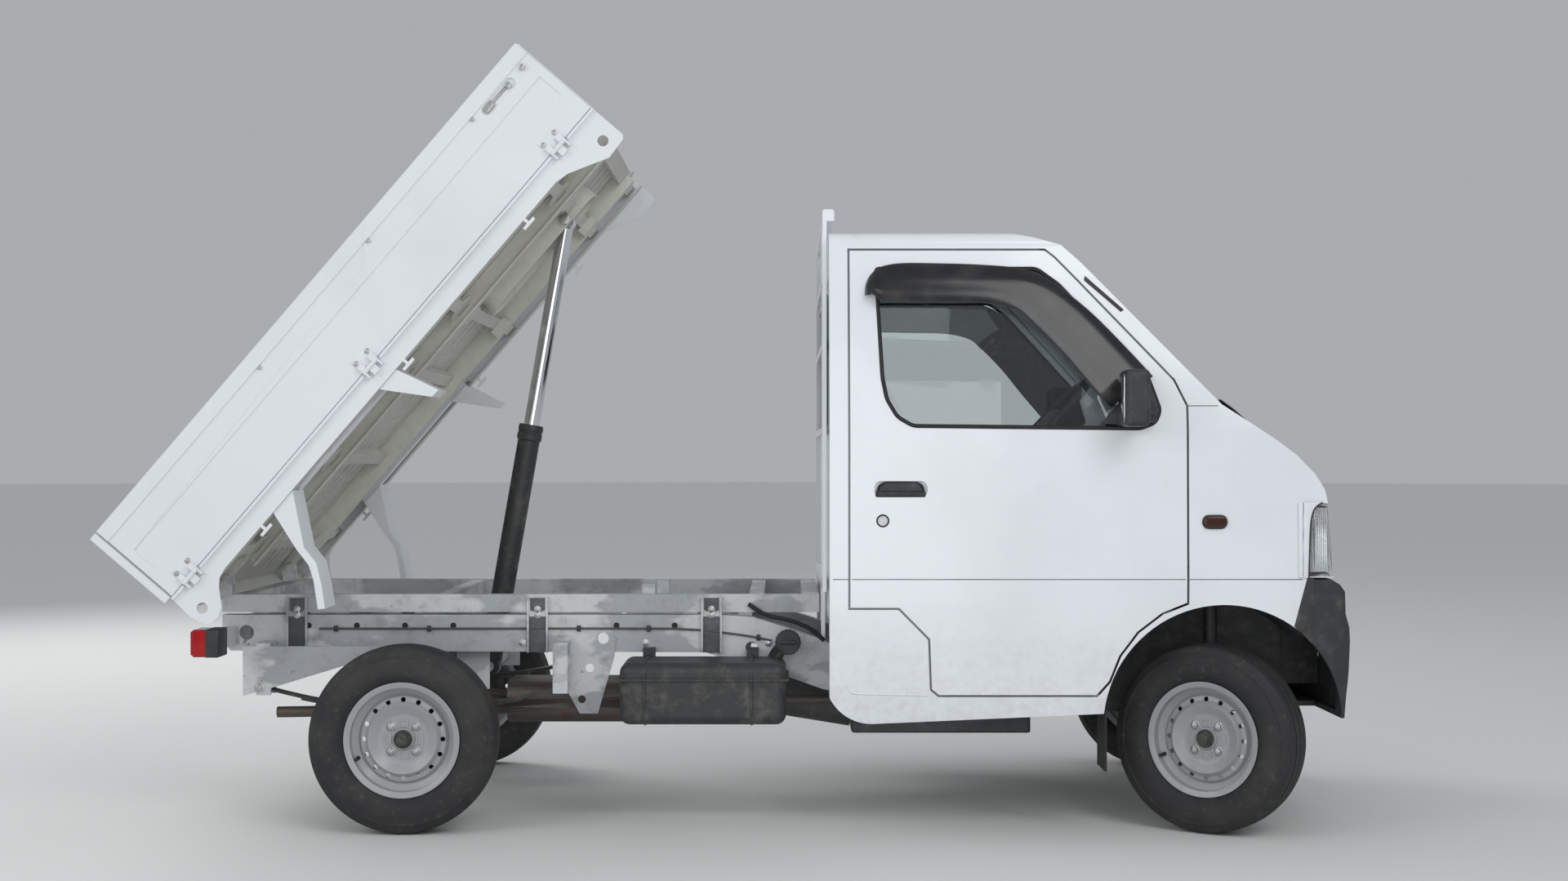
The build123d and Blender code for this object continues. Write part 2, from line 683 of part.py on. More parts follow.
axle_tube_radius = 38.0
axle_z = tyre_radius
diff_radius = 112.0
spring_thickness = 22.0
spring_centre_z = 325.0
with BuildPart() as rear_axle:
    rod_between((at(0), -575, axle_z), (at(0), 575, axle_z), axle_tube_radius)
    rod_between((at(0), -700, axle_z), (at(0), 700, axle_z), spindle_radius)
    for side in (-1, 1):
        rod_between((at(0), side * 575, axle_z), (at(0), side * 583, axle_z), 118)
        near, far = sorted((side * spring_inner_y, side * (spring_inner_y + spring_width)))
        box_between((at(0) - 50, near, axle_z), (at(0) + 50, far, spring_centre_z - spring_thickness / 2))
    with BuildSketch(Plane.XY.offset(axle_z)) as diff_half:
        with BuildLine():
            Line((at(0), -105), (at(0), 105))
            Line((at(0), 105), (at(0) + 50, 100))
            ThreePointArc((at(0) + 50, 100), (at(0) + diff_radius, 0), (at(0) + 50, -100))
            Line((at(0) + 50, -100), (at(0), -105))
        make_face()
    revolve(diff_half.sketch, axis=Axis((at(0), 0, axle_z), (0, 1, 0)))
    rod_between((at(0), 0, axle_z + 6), (at(150), 0, axle_z + 14), 45)
write(rear_axle, "rear_axle")

leaf_half_lengths = (440.0, 330.0, 230.0, 140.0)
leaf_thickness = spring_thickness / len(leaf_half_lengths)
leaf_radius = 1592.0
leaf_centre = -10.0


def leaf(half_length, low_z, near, far):
    # One curved leaf: its underside's lowest point is at low_z
    end_rise = leaf_radius - (leaf_radius ** 2 - half_length ** 2) ** 0.5
    start, middle, end = at(leaf_centre - half_length), at(leaf_centre), at(leaf_centre + half_length)
    top_z = low_z + leaf_thickness
    with BuildSketch(Plane.XZ.offset(-far)) as side_view:
        with BuildLine():
            ThreePointArc((start, low_z + end_rise), (middle, low_z), (end, low_z + end_rise))
            Line((end, low_z + end_rise), (end, top_z + end_rise))
            ThreePointArc((end, top_z + end_rise), (middle, top_z), (start, top_z + end_rise))
            Line((start, top_z + end_rise), (start, low_z + end_rise))
        make_face()
    extrude(side_view.sketch, amount=far - near)


with BuildPart() as leaf_springs:
    for side in (-1, 1):
        near, far = sorted((side * spring_inner_y, side * (spring_inner_y + spring_width)))
        box_between((at(-60), near, spring_centre_z - spring_thickness / 2),
                    (at(60), far, spring_centre_z + spring_thickness / 2))
        for index, half_length in enumerate(leaf_half_lengths):
            leaf(half_length, spring_centre_z + spring_thickness / 2 - (index + 1) * leaf_thickness, near, far)
        for along, eye_z in spring_eyes:
            rod_between((at(along), near, eye_z), (at(along), far, eye_z), eye_radius)
            rod_between((at(along), near, eye_z), (at(along), far, eye_z), 8 + bore_gap, Mode.SUBTRACT)
write(leaf_springs, "leaf_springs")

engine_low = (1300.0, -290.0, 235.0)
engine_high = (1850.0, 290.0, floor_z - floor_thickness - 12)
engine_top_z = platform_z - floor_thickness - 20
with BuildPart() as engine_block:
    box_between((at(engine_low[0]), engine_low[1], engine_low[2]),
                (at(platform_front - floor_thickness - 15), engine_high[1], engine_top_z))
    box_between((at(engine_low[0]), engine_low[1], engine_low[2]),
                (at(engine_high[0]), engine_high[1], engine_high[2]))
    mirrored_boxes((at(1500), 289, 360), (at(1560), rail_outer_y - rail_plate - seat_gap, 410))
write(engine_block, "engine_block")

gearbox_rear = 1010.0
shaft_end_radius = 28.0
with BuildPart() as driveline:
    with BuildSketch(Plane.YZ.offset(at(engine_low[0]))) as bell:
        with Locations((0, 350)):
            RectangleRounded(250, 240, 50)
    with BuildSketch(Plane.YZ.offset(at(gearbox_rear))) as tail:
        with Locations((0, 335)):
            RectangleRounded(120, 130, 40)
    loft([bell.sketch, tail.sketch])
    rod_between((at(gearbox_rear + 1), 0, 330), (at(157), 0, axle_z + 14), shaft_end_radius)
write(driveline, "driveline")

silencer_low = (250.0, -330.0, 270.0)
silencer_high = (600.0, -75.0, 396.0)
pipe_radius = 17.0
with BuildPart() as exhaust:
    box_between((at(silencer_low[0]), silencer_low[1], silencer_low[2]),
                (at(silencer_high[0]), silencer_high[1], silencer_high[2]))
    fillet(exhaust.edges().filter_by(Axis.X), radius=50)
    rod_between((at(silencer_high[0]) - 2, -200, 330), (at(engine_low[0]), -200, 330), pipe_radius)
    with BuildLine() as tail_path:
        FilletPolyline(
            (at(252), -200, 340), (at(110), -200, 352), (at(-130), -200, 352), (at(-300), -200, 292),
            (at(-480), -200, 289), radius=90,
        )
    with BuildSketch(Plane(origin=tail_path.line @ 0, z_dir=tail_path.line % 0)):
        Circle(pipe_radius)
    sweep(path=tail_path.line)
write(exhaust, "exhaust")

tank_low = (617.0, -640.0, 305.0)
tank_high = (1100.0, -404.0, 485.0)
with BuildPart() as fuel_tank:
    box_between((at(tank_low[0]), tank_low[1], tank_low[2]), (at(tank_high[0]), tank_high[1], tank_high[2]))
    fillet(fuel_tank.edges(), radius=30)
    box_between((at(tank_low[0]) - 8, tank_low[1] - 8, 434), (at(tank_high[0]) + 8, tank_high[1], 440))
    rod_between((at(1060), -440, 470), (at(1106), -445, 530), 16)
    rod_between((at(1106), -440, 530), (at(1106), -468, 530), 36)
    for along in (690, 1000):
        box_between((at(along) - 18, tank_high[1] - 30, 478), (at(along) + 18, -rail_outer_y, 510))
write(fuel_tank, "fuel_tank")

# Front suspension and steering

boss_radius = 22.0
kingpin_radius = 10.0
boss_low_z = 172.0
boss_high_z = 380.0
with BuildPart() as front_suspension:
    box_between((at(2300), -rail_outer_y, 258), (at(2400), rail_outer_y, 330))
    for side in (-1, 1):
        near, far = sorted((side * 390, side * kingpin_y))
        box_between((front_axle_x - 20, near, boss_low_z), (front_axle_x + 20, far, boss_low_z + 24))
        near, far = sorted((side * 350, side * 392))
        box_between((front_axle_x - 40, near, boss_low_z), (front_axle_x + 40, far, 262))
        rod_between((front_axle_x, side * kingpin_y, boss_low_z), (front_axle_x, side * kingpin_y, boss_low_z + 28),
                    boss_radius)
        near, far = sorted((side * 520, side * kingpin_y))
        box_between((front_axle_x - 18, near, boss_high_z - 12), (front_axle_x + 18, far, boss_high_z + 12))
        rod_between((front_axle_x, side * kingpin_y, boss_high_z - 12),
                    (front_axle_x, side * kingpin_y, boss_high_z + 12), 18)
        rod_between((front_axle_x, side * 525, boss_high_z - 12), (front_axle_x, side * 525, 659.4), 20)
        for low_z, high_z in ((boss_low_z - 5, boss_low_z + 33), (boss_high_z - 20, boss_high_z + 20)):
            rod_between((front_axle_x, side * kingpin_y, low_z), (front_axle_x, side * kingpin_y, high_z),
                        kingpin_radius + bore_gap, Mode.SUBTRACT)
write(front_suspension, "front_suspension")


def kingpin_axis(side):
    return Axis((front_axle_x, side * kingpin_y, 0), (0, 0, 1))


def steered(shape, side):
    # Turned about its own kingpin to full right lock
    return shape.rotate(kingpin_axis(side), -steer_lock)


def straight_knuckle(side):
    with BuildPart() as straight:
        rod_between((front_axle_x, side * kingpin_y, boss_low_z + 2), (front_axle_x, side * kingpin_y, boss_high_z + 10),
                    kingpin_radius)
        rod_between((front_axle_x, side * kingpin_y, boss_low_z + 34),
                    (front_axle_x, side * kingpin_y, boss_high_z - 18), 24)
        rod_between((front_axle_x, side * kingpin_y, axle_z), (front_axle_x, side * (wheel_y + 55), axle_z),
                    spindle_radius)
        rod_between((front_axle_x, side * (kingpin_y + 16), axle_z), (front_axle_x, side * (kingpin_y + 26), axle_z),
                    70)
    return straight.part


for name, side in (("knuckle_right", -1), ("knuckle_left", 1)):
    with BuildPart() as knuckle:
        add(steered(straight_knuckle(side), side))
    write(knuckle, name)

# Wheels: each made upright about the Y axis with its outer face towards -Y

vent_ring_radius = 113.5
vent_radius = 7.0
vent_count = 16
stud_ring_radius = 50.0
stud_count = 4
nut_seat_radius = 13.0
nave_out = 24.0
frame_ring_radius = 46.0
hub_bore = spindle_radius + bore_gap
half_rim = rim_width / 2

# radius and offset towards the outer face, round the steel rim's section
rim_section = [
    (flange_radius, half_rim + 8), (flange_radius, half_rim + 4), (bead_seat_radius, half_rim),
    (bead_seat_radius, 22), (132, 12), (132, -22), (bead_seat_radius, -32), (bead_seat_radius, -half_rim),
    (flange_radius, -half_rim - 4), (flange_radius, -half_rim - 8), (flange_radius - 3, -half_rim - 8),
    (bead_seat_radius - 3, -half_rim - 3), (bead_seat_radius - 3, -34), (129, -24), (129, 14),
    (bead_seat_radius - 3, 24), (bead_seat_radius - 3, half_rim + 3), (flange_radius - 3, half_rim + 8),
]
# the pressed disc: hole ring, crest, cup and nave
disc_section = [
    (hub_bore, 24), (hub_bore, 6), (72, 6), (84, 26), (99, 36), (108, 24), (121, 21), (131, 8),
    (131, 13), (122, 25), (110, 28), (99, 40), (81, 30), (69, 24), (34, 24), (30, 32), (24, 32),
]
drum_section = [(hub_bore, 6), (hub_bore, -12), (100, -12), (100, 4), (60, 6)]
half_tread = tread_width / 2
half_section = tyre_section / 2
tyre_inner = bead_seat_radius + 0.2


def turned(points):
    with BuildSketch(Plane.XY) as section:
        with BuildLine():
            Polyline(*[(radius, -out) for radius, out in points], close=True)
        make_face()
    revolve(section.sketch, axis=Axis.Y)


with BuildPart() as plain_rim:
    turned(rim_section)
    turned(disc_section)
    turned(drum_section)
    with BuildSketch(Plane.XZ.offset(0)):
        with PolarLocations(vent_ring_radius, vent_count):
            Circle(vent_radius)
    extrude(amount=60, mode=Mode.SUBTRACT)
    with BuildSketch(Plane.XZ.offset(nave_out - 4)):
        with PolarLocations(stud_ring_radius, stud_count, start_angle=45):
            Circle(nut_seat_radius)
    extrude(amount=20, mode=Mode.SUBTRACT)
    with BuildSketch(Plane.XZ.offset(nave_out - 1)):
        with PolarLocations(frame_ring_radius, stud_count):
            Rectangle(22, 30)
            Rectangle(12, 20, mode=Mode.SUBTRACT)
    extrude(amount=3.5)
with BuildPart() as plain_tyre:
    with BuildSketch(Plane.XY):
        with BuildLine():
            Polyline((tyre_inner, 40), (tyre_inner, half_rim - 0.5), (flange_radius + 1, half_rim + 1))
            ThreePointArc((flange_radius + 1, half_rim + 1), (214, half_section), (256, half_tread + 5))
            Polyline((256, half_tread + 5), (266, half_tread - 2), (tyre_radius - 1, half_tread - 12),
                     (tyre_radius, 0), (tyre_radius - 1, 12 - half_tread), (266, 2 - half_tread),
                     (256, -half_tread - 5))
            ThreePointArc((256, -half_tread - 5), (214, -half_section), (flange_radius + 1, -half_rim - 1))
            Polyline((flange_radius + 1, -half_rim - 1), (tyre_inner, 0.5 - half_rim), (tyre_inner, -40),
                     (172, -46))
            ThreePointArc((172, -46), (212, -64), (248, -52))
            Polyline((248, -52), (258, 0), (248, 52))
            ThreePointArc((248, 52), (212, 64), (172, 46))
            Line((172, 46), (tyre_inner, 40))
        make_face()
    revolve(axis=Axis.Y)

# name, along, side, steered
wheel_places = [
    ("front_right", wheelbase, -1, True), ("front_left", wheelbase, 1, True),
    ("rear_right", 0.0, -1, False), ("rear_left", 0.0, 1, False),
]
for name, along, side, steers in wheel_places:
    for kind, plain in (("rim", plain_rim), ("tyre", plain_tyre)):
        place = Location((at(along), side * wheel_y, axle_z), (0, 0, 0 if side < 0 else 180))
        placed = plain.part.moved(place)
        with BuildPart() as wheel:
            add(steered(placed, side) if steers else placed)
        write(wheel, kind + "_" + name)

# Rear lamps on the frame's end bar, and mudflaps behind the front wheels

lamp_inner_y = 596.0
with BuildPart() as rear_bar:
    mirrored_boxes((at(-585), rail_outer_y, 522), (at(-545), lamp_inner_y - 0.3, 572))
write(rear_bar, "rear_bar")
with BuildPart() as tail_lamps:
    mirrored_boxes((at(-603), lamp_inner_y, 507), (at(-527), 690, 586))
write(tail_lamps, "tail_lamps")
flap_top_z = 366.0
flap_gap = 0.9
with BuildPart() as mudflaps:
    flap_rise = flap_top_z - arch_centre_z
    flap_rear = arch_x - (arch_radius ** 2 - flap_rise ** 2) ** 0.5 + flap_gap
    mirrored_boxes((at(flap_rear), 560, 182), (at(flap_rear) + 6, 705, flap_top_z))
write(mudflaps, "mudflaps")

# Bed, made level and then turned up about its hinge

bed_axis = Axis((at(bed_pivot[0]), 0, bed_pivot[1]), (0, 1, 0))


def raised(shape):
    return shape.rotate(bed_axis, -bed_raise)


def bed_box(low, high, mode=Mode.ADD):
    # Corners are along from the bed's rear edge, across, and up from its hinge line
    box_between(
        (at(bed_rear) + low[0], low[1], hinge_line_z + low[2]),
        (at(bed_rear) + high[0], high[1], hinge_line_z + high[2]), mode,
    )


def bed_boxes(low, high, mode=Mode.ADD):
    bed_box(low, high, mode)
    bed_box((low[0], -high[1], low[2]), (high[0], -low[1], high[2]), mode)


def bed_prism(outline, low_y, high_y, mode=Mode.ADD):
    side_prism([(bed_rear + along, hinge_line_z + up) for along, up in outline], low_y, high_y, mode)


def bed_rod(start, end, radius, mode=Mode.ADD):
    rod_between(
        (at(bed_rear) + start[0], start[1], hinge_line_z + start[2]),
        (at(bed_rear) + end[0], end[1], hinge_line_z + end[2]), radius, mode,
    )


front_thickness = 26.0
floor_top = -4.0
floor_under = -12.0
rib_pitch = 84.0
rib_width = 34.0
rib_height = 5.0
rib_end = 60.0
rib_wall = 4.0
side_sill_in = 40.0
side_sill_out = 700.0
skirt_drop = 62.0
ear_drop = 138.0
gate_axis_y = bed_half_width + gate_axis_out
gate_hinge_stations = (88.0, 877.0, 1700.0)
tail_axis_along = -tailgate_thickness / 2
tail_axis_drop = 8.0
tail_hinge_stations = (-560.0, -190.0, 190.0, 560.0)
knuckle_radius = 7.0
knuckle_pin = 4.0
knuckle_width = 24.0
bed_cross_members = (210.0, 560.0, 905.0, 1157.0, 1608.0, 1806.0)
pad_stations = (1157.0, 1608.0)
beam_inner_y = 360.0
beam_outer_y = 400.0
beam_drop = 72.0
beam_wall = 4.0
cross_drop = 46.0
under_reach = 693.5
trough_rear = 1240.0
trough_front = 1640.0
trough_half_width = 54.0
trough_wall = 6.0
trough_drop = 66.0
hook_stations = (325.0, 950.0, 1480.0)
hook_width = 9.0
hook_bar = 44.0
hook_drop = 76.0
hinge_clear = 36.0
lip_ends = [2.0]
for station in gate_hinge_stations:
    lip_ends += [station - hinge_clear, station + hinge_clear]
lip_ends.append(bed_length - 7)
lip_runs = list(zip(lip_ends[::2], lip_ends[1::2]))
pivot_along = bed_pivot[0] - bed_rear
pivot_drop = hinge_line_z - bed_pivot[1]

with BuildPart() as level_floor:
    bed_box((22, -672, floor_under), (bed_length, 672, floor_top))
    rib_count = 15
    for index in range(rib_count):
        y = (index - (rib_count - 1) / 2) * rib_pitch
        bed_box((rib_end, y - rib_width / 2, floor_top),
                (bed_length - rib_end, y + rib_width / 2, floor_top + rib_height))
        bed_box((rib_end + rib_wall, y - rib_width / 2 + rib_wall, floor_under),
                (bed_length - rib_end - rib_wall, y + rib_width / 2 - rib_wall, floor_top), Mode.SUBTRACT)
    for side in (-1, 1):
        far = side * side_sill_out
        near, high = sorted((far, far - side * 6))
        skirt = [
            (0, -4), (-5, -76), (8, -128), (24, -ear_drop), (50, -ear_drop), (74, -128), (112, -84),
            (134, -68), (165, -skirt_drop), (1620, -skirt_drop), (1660, -72), (1713, -100), (1772, 6 - ear_drop),
            (1838, 10 - ear_drop), (1848, -118), (1848, -4),
        ]
        bed_prism(skirt, near, high)
        near, high = sorted((far, far - side * side_sill_in))
        bed_box((0, near, -8), (bed_length - 5, high, -4))
        bed_box((0, near, -skirt_drop), (bed_length - 5, high, 4 - skirt_drop))
        for along in (36, 1797):
            bed_rod((along, side * 720, -87), (along, side * 660, -87), 16, Mode.SUBTRACT)
    bed_box((0, -700, -50), (22, 700, -4))
    for low, high in lip_runs:
        bed_boxes((low, side_sill_out - 1, -11), (high, side_sill_out + 12, -3))
    for along in hook_stations:
        bed_boxes((along - hook_width / 2, side_sill_out - 6, -hook_drop),
                  (along + hook_width / 2, side_sill_out, 1 - skirt_drop))
        bed_boxes((along - hook_bar / 2, side_sill_out - 6, -hook_drop - hook_width),
                  (along + hook_bar / 2, side_sill_out, -hook_drop))
    for side in (-1, 1):
        for along in gate_hinge_stations:
            near, far = sorted((side * 699, side * gate_axis_y))
            bed_box((along - knuckle_width / 2, near, -30), (along + knuckle_width / 2, far, -gate_axis_drop))
            bed_rod((along - knuckle_width / 2, side * gate_axis_y, -gate_axis_drop),
                    (along + knuckle_width / 2, side * gate_axis_y, -gate_axis_drop), knuckle_radius)
            reach = knuckle_width / 2 + 18
            bed_rod((along - reach, side * gate_axis_y, -gate_axis_drop),
                    (along + reach, side * gate_axis_y, -gate_axis_drop), knuckle_pin)
    for y in tail_hinge_stations:
        half = knuckle_width / 2
        bed_box((tail_axis_along, y - half, -24), (2, y + half, -tail_axis_drop))
        bed_rod((tail_axis_along, y - half, -tail_axis_drop), (tail_axis_along, y + half, -tail_axis_drop),
                knuckle_radius)
        bed_rod((tail_axis_along, y - half - 18, -tail_axis_drop),
                (tail_axis_along, y + half + 18, -tail_axis_drop), knuckle_pin)
with BuildPart() as bed_floor:
    add(raised(level_floor.part))
write(bed_floor, "bed_floor")

# The frame under the bed: two long beams, cross-members with flared ends, the ram's trough and the pivot ears


def bed_plate(outline, low_up, high_up, mode=Mode.ADD):
    # A plan outline, along and across, between two heights
    with BuildSketch(Plane.XY.offset(hinge_line_z + low_up)) as plan:
        with BuildLine():
            Polyline(*[(at(bed_rear) + along, across) for along, across in outline], close=True)
        make_face()
    extrude(plan.sketch, amount=high_up - low_up, mode=mode)


def trough_space(half_width, low_up, high_up, mode=Mode.ADD):
    # The ram's trough: a long slot with round ends in plan
    with BuildSketch(Plane.XY.offset(hinge_line_z + low_up)) as plan:
        with Locations((at(bed_rear) + (trough_rear + trough_front) / 2, 0)):
            SlotCenterToCenter(trough_front - trough_rear, 2 * half_width)
    extrude(plan.sketch, amount=high_up - low_up, mode=mode)


under_top = floor_under - seat_gap
with BuildPart() as level_underframe:
    bed_boxes((160, beam_inner_y, -beam_drop), (bed_length - 26, beam_outer_y, under_top))
    bed_boxes((156, beam_inner_y + beam_wall, -beam_drop + beam_wall),
              (bed_length - 20, beam_outer_y + 1, under_top - beam_wall), Mode.SUBTRACT)
    bed_boxes((pivot_along - 20, 376, -pivot_drop - 4), (170, 388, under_top))
    for along in bed_cross_members:
        bed_box((along - 20, -under_reach, -cross_drop), (along + 20, under_reach, under_top))
        for side in (-1, 1):
            bed_plate([
                (along - 20, side * 405), (along - 20, side * 470), (along - 46, side * 430),
                (along - 46, side * (beam_outer_y - 2)), (along + 46, side * (beam_outer_y - 2)),
                (along + 46, side * 430), (along + 20, side * 470), (along + 20, side * 405),
            ], -cross_drop, 4 - cross_drop)
    for along in pad_stations:
        bed_boxes((along - 34, 320, -beam_drop), (along + 34, beam_inner_y + 1, 1 - cross_drop))
    trough_space(trough_half_width, -trough_drop, under_top)
    trough_space(trough_half_width - trough_wall, -trough_drop - 10, under_top - trough_wall, Mode.SUBTRACT)
    for side in (-1, 1):
        bed_rod((pivot_along, side * 376, -pivot_drop), (pivot_along, side * 388, -pivot_drop), 19)
        bed_rod((pivot_along, side * 370, -pivot_drop), (pivot_along, side * 394, -pivot_drop),
                pivot_pin_radius + bore_gap, Mode.SUBTRACT)
        bed_rod((ram_eye_along, side * 40, -ram_eye_drop), (ram_eye_along, side * 60, -ram_eye_drop), 12.5,
                Mode.SUBTRACT)
with BuildPart() as bed_underframe:
    add(raised(level_underframe.part))
write(bed_underframe, "bed_underframe")

with BuildPart() as level_front:
    bed_box((bed_length - front_thickness, -669, floor_top), (bed_length, 669, gate_height))
    for low_y, high_y in ((-600, -210), (-190, 190), (210, 600)):
        bed_box((bed_length - front_thickness - 1, low_y, 40),
                (bed_length - front_thickness + 10, high_y, gate_height - 45), Mode.SUBTRACT)
with BuildPart() as bed_front_panel:
    add(raised(level_front.part))
write(bed_front_panel, "bed_front_panel")

# side outline of the rear and front mudguards: along and up, in the bed's own measure
rear_guard = [
    (374, -62), (459, -62), (356, -194), (345, -249), (308, -301), (262, -354), (246, -340), (269, -313),
    (302, -275), (326, -236), (337, -181),
]
front_guard = [(839, -62), (915, -62), (950, -193), (922, -192)]
with BuildPart() as level_guards:
    for side in (-1, 1):
        near, far = sorted((side * 560, side * 693))
        for outline in (rear_guard, front_guard):
            bed_prism(outline, near, far)
        near, far = sorted((side * 570, side * 600))
        bed_box((374, near, -62), (915, far, -46))
with BuildPart() as bed_mudguards:
    add(raised(level_guards.part))
write(bed_mudguards, "bed_mudguards")


gate_rail = 43.0
rail_step = 4.0
gate_press_end = 34.0
gate_press_low = 91.0
gate_press_high = 170.0
gate_press_depth = 3.0
latch_rear = 1633.0
latch_front = 1765.0
latch_up = 222.0
latch_height = 30.0
latch_depth = 6.0


def gate_with_knuckles():
    # The right gate, closed: a hollow-backed panel with its hinge knuckles
    outer = -bed_half_width
    inner = outer + gate_thickness
    with BuildPart() as gate:
        bed_box((6, outer, gate_lift), (bed_length - 7, inner, gate_height))
        bed_box((5, outer - 1, gate_lift - 1), (bed_length - 6, outer + rail_step, gate_height - gate_rail),
                Mode.SUBTRACT)
        bed_box((gate_press_end, outer, gate_press_low),
                (bed_length - gate_press_end, outer + rail_step + gate_press_depth, gate_press_high), Mode.SUBTRACT)
        with BuildSketch(Plane.XZ.offset(-outer - rail_step - latch_depth)) as latch_face:
            with Locations((at(bed_rear) + (latch_rear + latch_front) / 2, hinge_line_z + latch_up)):
                SlotOverall(latch_front - latch_rear, latch_height)
        extrude(latch_face.sketch, amount=latch_depth + 2, mode=Mode.SUBTRACT)
        for along in gate_hinge_stations:
            for low in (along - knuckle_width / 2 - 18.3, along + knuckle_width / 2 + 0.3):
                bed_box((low, -gate_axis_y, -gate_axis_drop), (low + 18, outer + rail_step + 2, 22))
                bed_rod((low, -gate_axis_y, -gate_axis_drop), (low + 18, -gate_axis_y, -gate_axis_drop),
                        knuckle_radius)
                bed_rod((low - 1, -gate_axis_y, -gate_axis_drop), (low + 19, -gate_axis_y, -gate_axis_drop),
                        knuckle_pin + bore_gap, Mode.SUBTRACT)
    return gate.part


level_gate = gate_with_knuckles()
with BuildPart() as gate_right:
    add(raised(level_gate))
write(gate_right, "gate_right")
with BuildPart() as gate_left:
    mirror(gate_right.part, about=Plane.XZ)
write(gate_left, "gate_left")

with BuildPart() as level_tailgate:
    bed_box((-tailgate_thickness, -bed_half_width, gate_lift), (0, bed_half_width, gate_height))
    for low_y, high_y in ((-650, -20), (20, 650)):
        bed_box((-tailgate_thickness - 1, low_y, 36), (8 - tailgate_thickness, high_y, gate_height - 42),
                Mode.SUBTRACT)
    for y in tail_hinge_stations:
        for low in (y - knuckle_width / 2 - 18.3, y + knuckle_width / 2 + 0.3):
            bed_box((tail_axis_along - 6, low, -tail_axis_drop), (tail_axis_along + 6, low + 18, gate_lift + 2))
            bed_rod((tail_axis_along, low, -tail_axis_drop), (tail_axis_along, low + 18, -tail_axis_drop),
                    knuckle_radius)
            bed_rod((tail_axis_along, low - 1, -tail_axis_drop), (tail_axis_along, low + 19, -tail_axis_drop),
                    knuckle_pin + bore_gap, Mode.SUBTRACT)
with BuildPart() as tailgate:
    add(raised(level_tailgate.part))
write(tailgate, "tailgate")

# Ram: barrel on the cross tube, rod out to the bracket under the bed

level_eye = (bed_rear + ram_eye_along, hinge_line_z - ram_eye_drop)
eye_from_pivot = (level_eye[0] - bed_pivot[0], level_eye[1] - bed_pivot[1])
rise = radians(bed_raise)
raised_eye = (
    bed_pivot[0] + eye_from_pivot[0] * cos(rise) - eye_from_pivot[1] * sin(rise),
    bed_pivot[1] + eye_from_pivot[0] * sin(rise) + eye_from_pivot[1] * cos(rise),
)
ram_reach = hypot(raised_eye[0] - ram_foot[0], raised_eye[1] - ram_foot[1])
ram_angle = atan2(raised_eye[1] - ram_foot[1], raised_eye[0] - ram_foot[0])
level_reach = hypot(level_eye[0] - ram_foot[0], level_eye[1] - ram_foot[1])
level_angle = atan2(level_eye[1] - ram_foot[1], level_eye[0] - ram_foot[0])
print("ram raised", round(ram_reach, 1), round(degrees(ram_angle), 2),
      "level", round(level_reach, 1), round(degrees(level_angle), 2))


def up_ram(distance, y=0.0):
    return (at(ram_foot[0]) + distance * cos(ram_angle), y, ram_foot[1] + distance * sin(ram_angle))


with BuildPart() as ram_barrel:
    rod_between(up_ram(20), up_ram(barrel_length), barrel_radius)
    rod_between(up_ram(barrel_length - 45), up_ram(barrel_length), barrel_radius + 3)
    rod_between(up_ram(0, -30), up_ram(0, 30), 34)
    rod_between(up_ram(58), up_ram(barrel_length + 1), rod_radius + bore_gap, Mode.SUBTRACT)
    rod_between(up_ram(0, -31), up_ram(0, 31), ram_tube_radius + bore_gap, Mode.SUBTRACT)
write(ram_barrel, "ram_barrel")

with BuildPart() as ram_rod:
    rod_between(up_ram(ram_reach - rod_length), up_ram(ram_reach), rod_radius)
    rod_between(up_ram(ram_reach, -40), up_ram(ram_reach, 40), 27)
write(ram_rod, "ram_rod")
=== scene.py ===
import json
from math import atan2, cos, exp, hypot, pi, radians, sin, tau

import bpy
from mathutils import Matrix, Vector


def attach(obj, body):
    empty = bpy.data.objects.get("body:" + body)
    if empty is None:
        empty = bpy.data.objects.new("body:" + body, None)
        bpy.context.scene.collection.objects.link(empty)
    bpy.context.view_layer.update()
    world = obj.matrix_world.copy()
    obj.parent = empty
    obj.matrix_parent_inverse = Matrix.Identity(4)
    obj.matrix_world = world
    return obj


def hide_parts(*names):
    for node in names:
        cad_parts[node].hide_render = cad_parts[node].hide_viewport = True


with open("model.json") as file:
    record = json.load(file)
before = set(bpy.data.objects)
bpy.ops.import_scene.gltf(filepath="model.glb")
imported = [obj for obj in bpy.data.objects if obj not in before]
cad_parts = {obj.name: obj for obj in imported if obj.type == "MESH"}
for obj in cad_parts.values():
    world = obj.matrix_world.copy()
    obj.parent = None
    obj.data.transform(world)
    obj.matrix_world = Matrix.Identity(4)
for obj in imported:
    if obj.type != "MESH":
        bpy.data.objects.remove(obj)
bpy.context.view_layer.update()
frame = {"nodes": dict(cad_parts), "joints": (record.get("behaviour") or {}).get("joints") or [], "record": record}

joints = {joint["name"]: joint for joint in frame["joints"]}
bodyOfNode = {node: body for body, nodes in frame["record"]["behaviour"]["bodies"].items() for node in nodes}
sides = (("right", -1), ("left", 1))
wheels = ("front_right", "front_left", "rear_right", "rear_left")
wheelAxis = (0, 1, 0)        # across the truck; sections are spun about it too
weldReach = 0.00002          # points nearer than this become one
skinAngle = 32               # edges of the frame's pieces sharper than this are eased and stay crisp


# Selecting, naming and finishing pieces

def deselectAll():
    for piece in bpy.context.selected_objects:
        piece.select_set(False)


def pick(*pieces):
    deselectAll()
    for piece in pieces:
        piece.select_set(True)
    bpy.context.view_layer.objects.active = pieces[-1]


def editMode(piece):
    pick(piece)
    bpy.ops.object.mode_set(mode="EDIT")


def editAll(piece):
    editMode(piece)
    bpy.ops.mesh.select_all(action="SELECT")


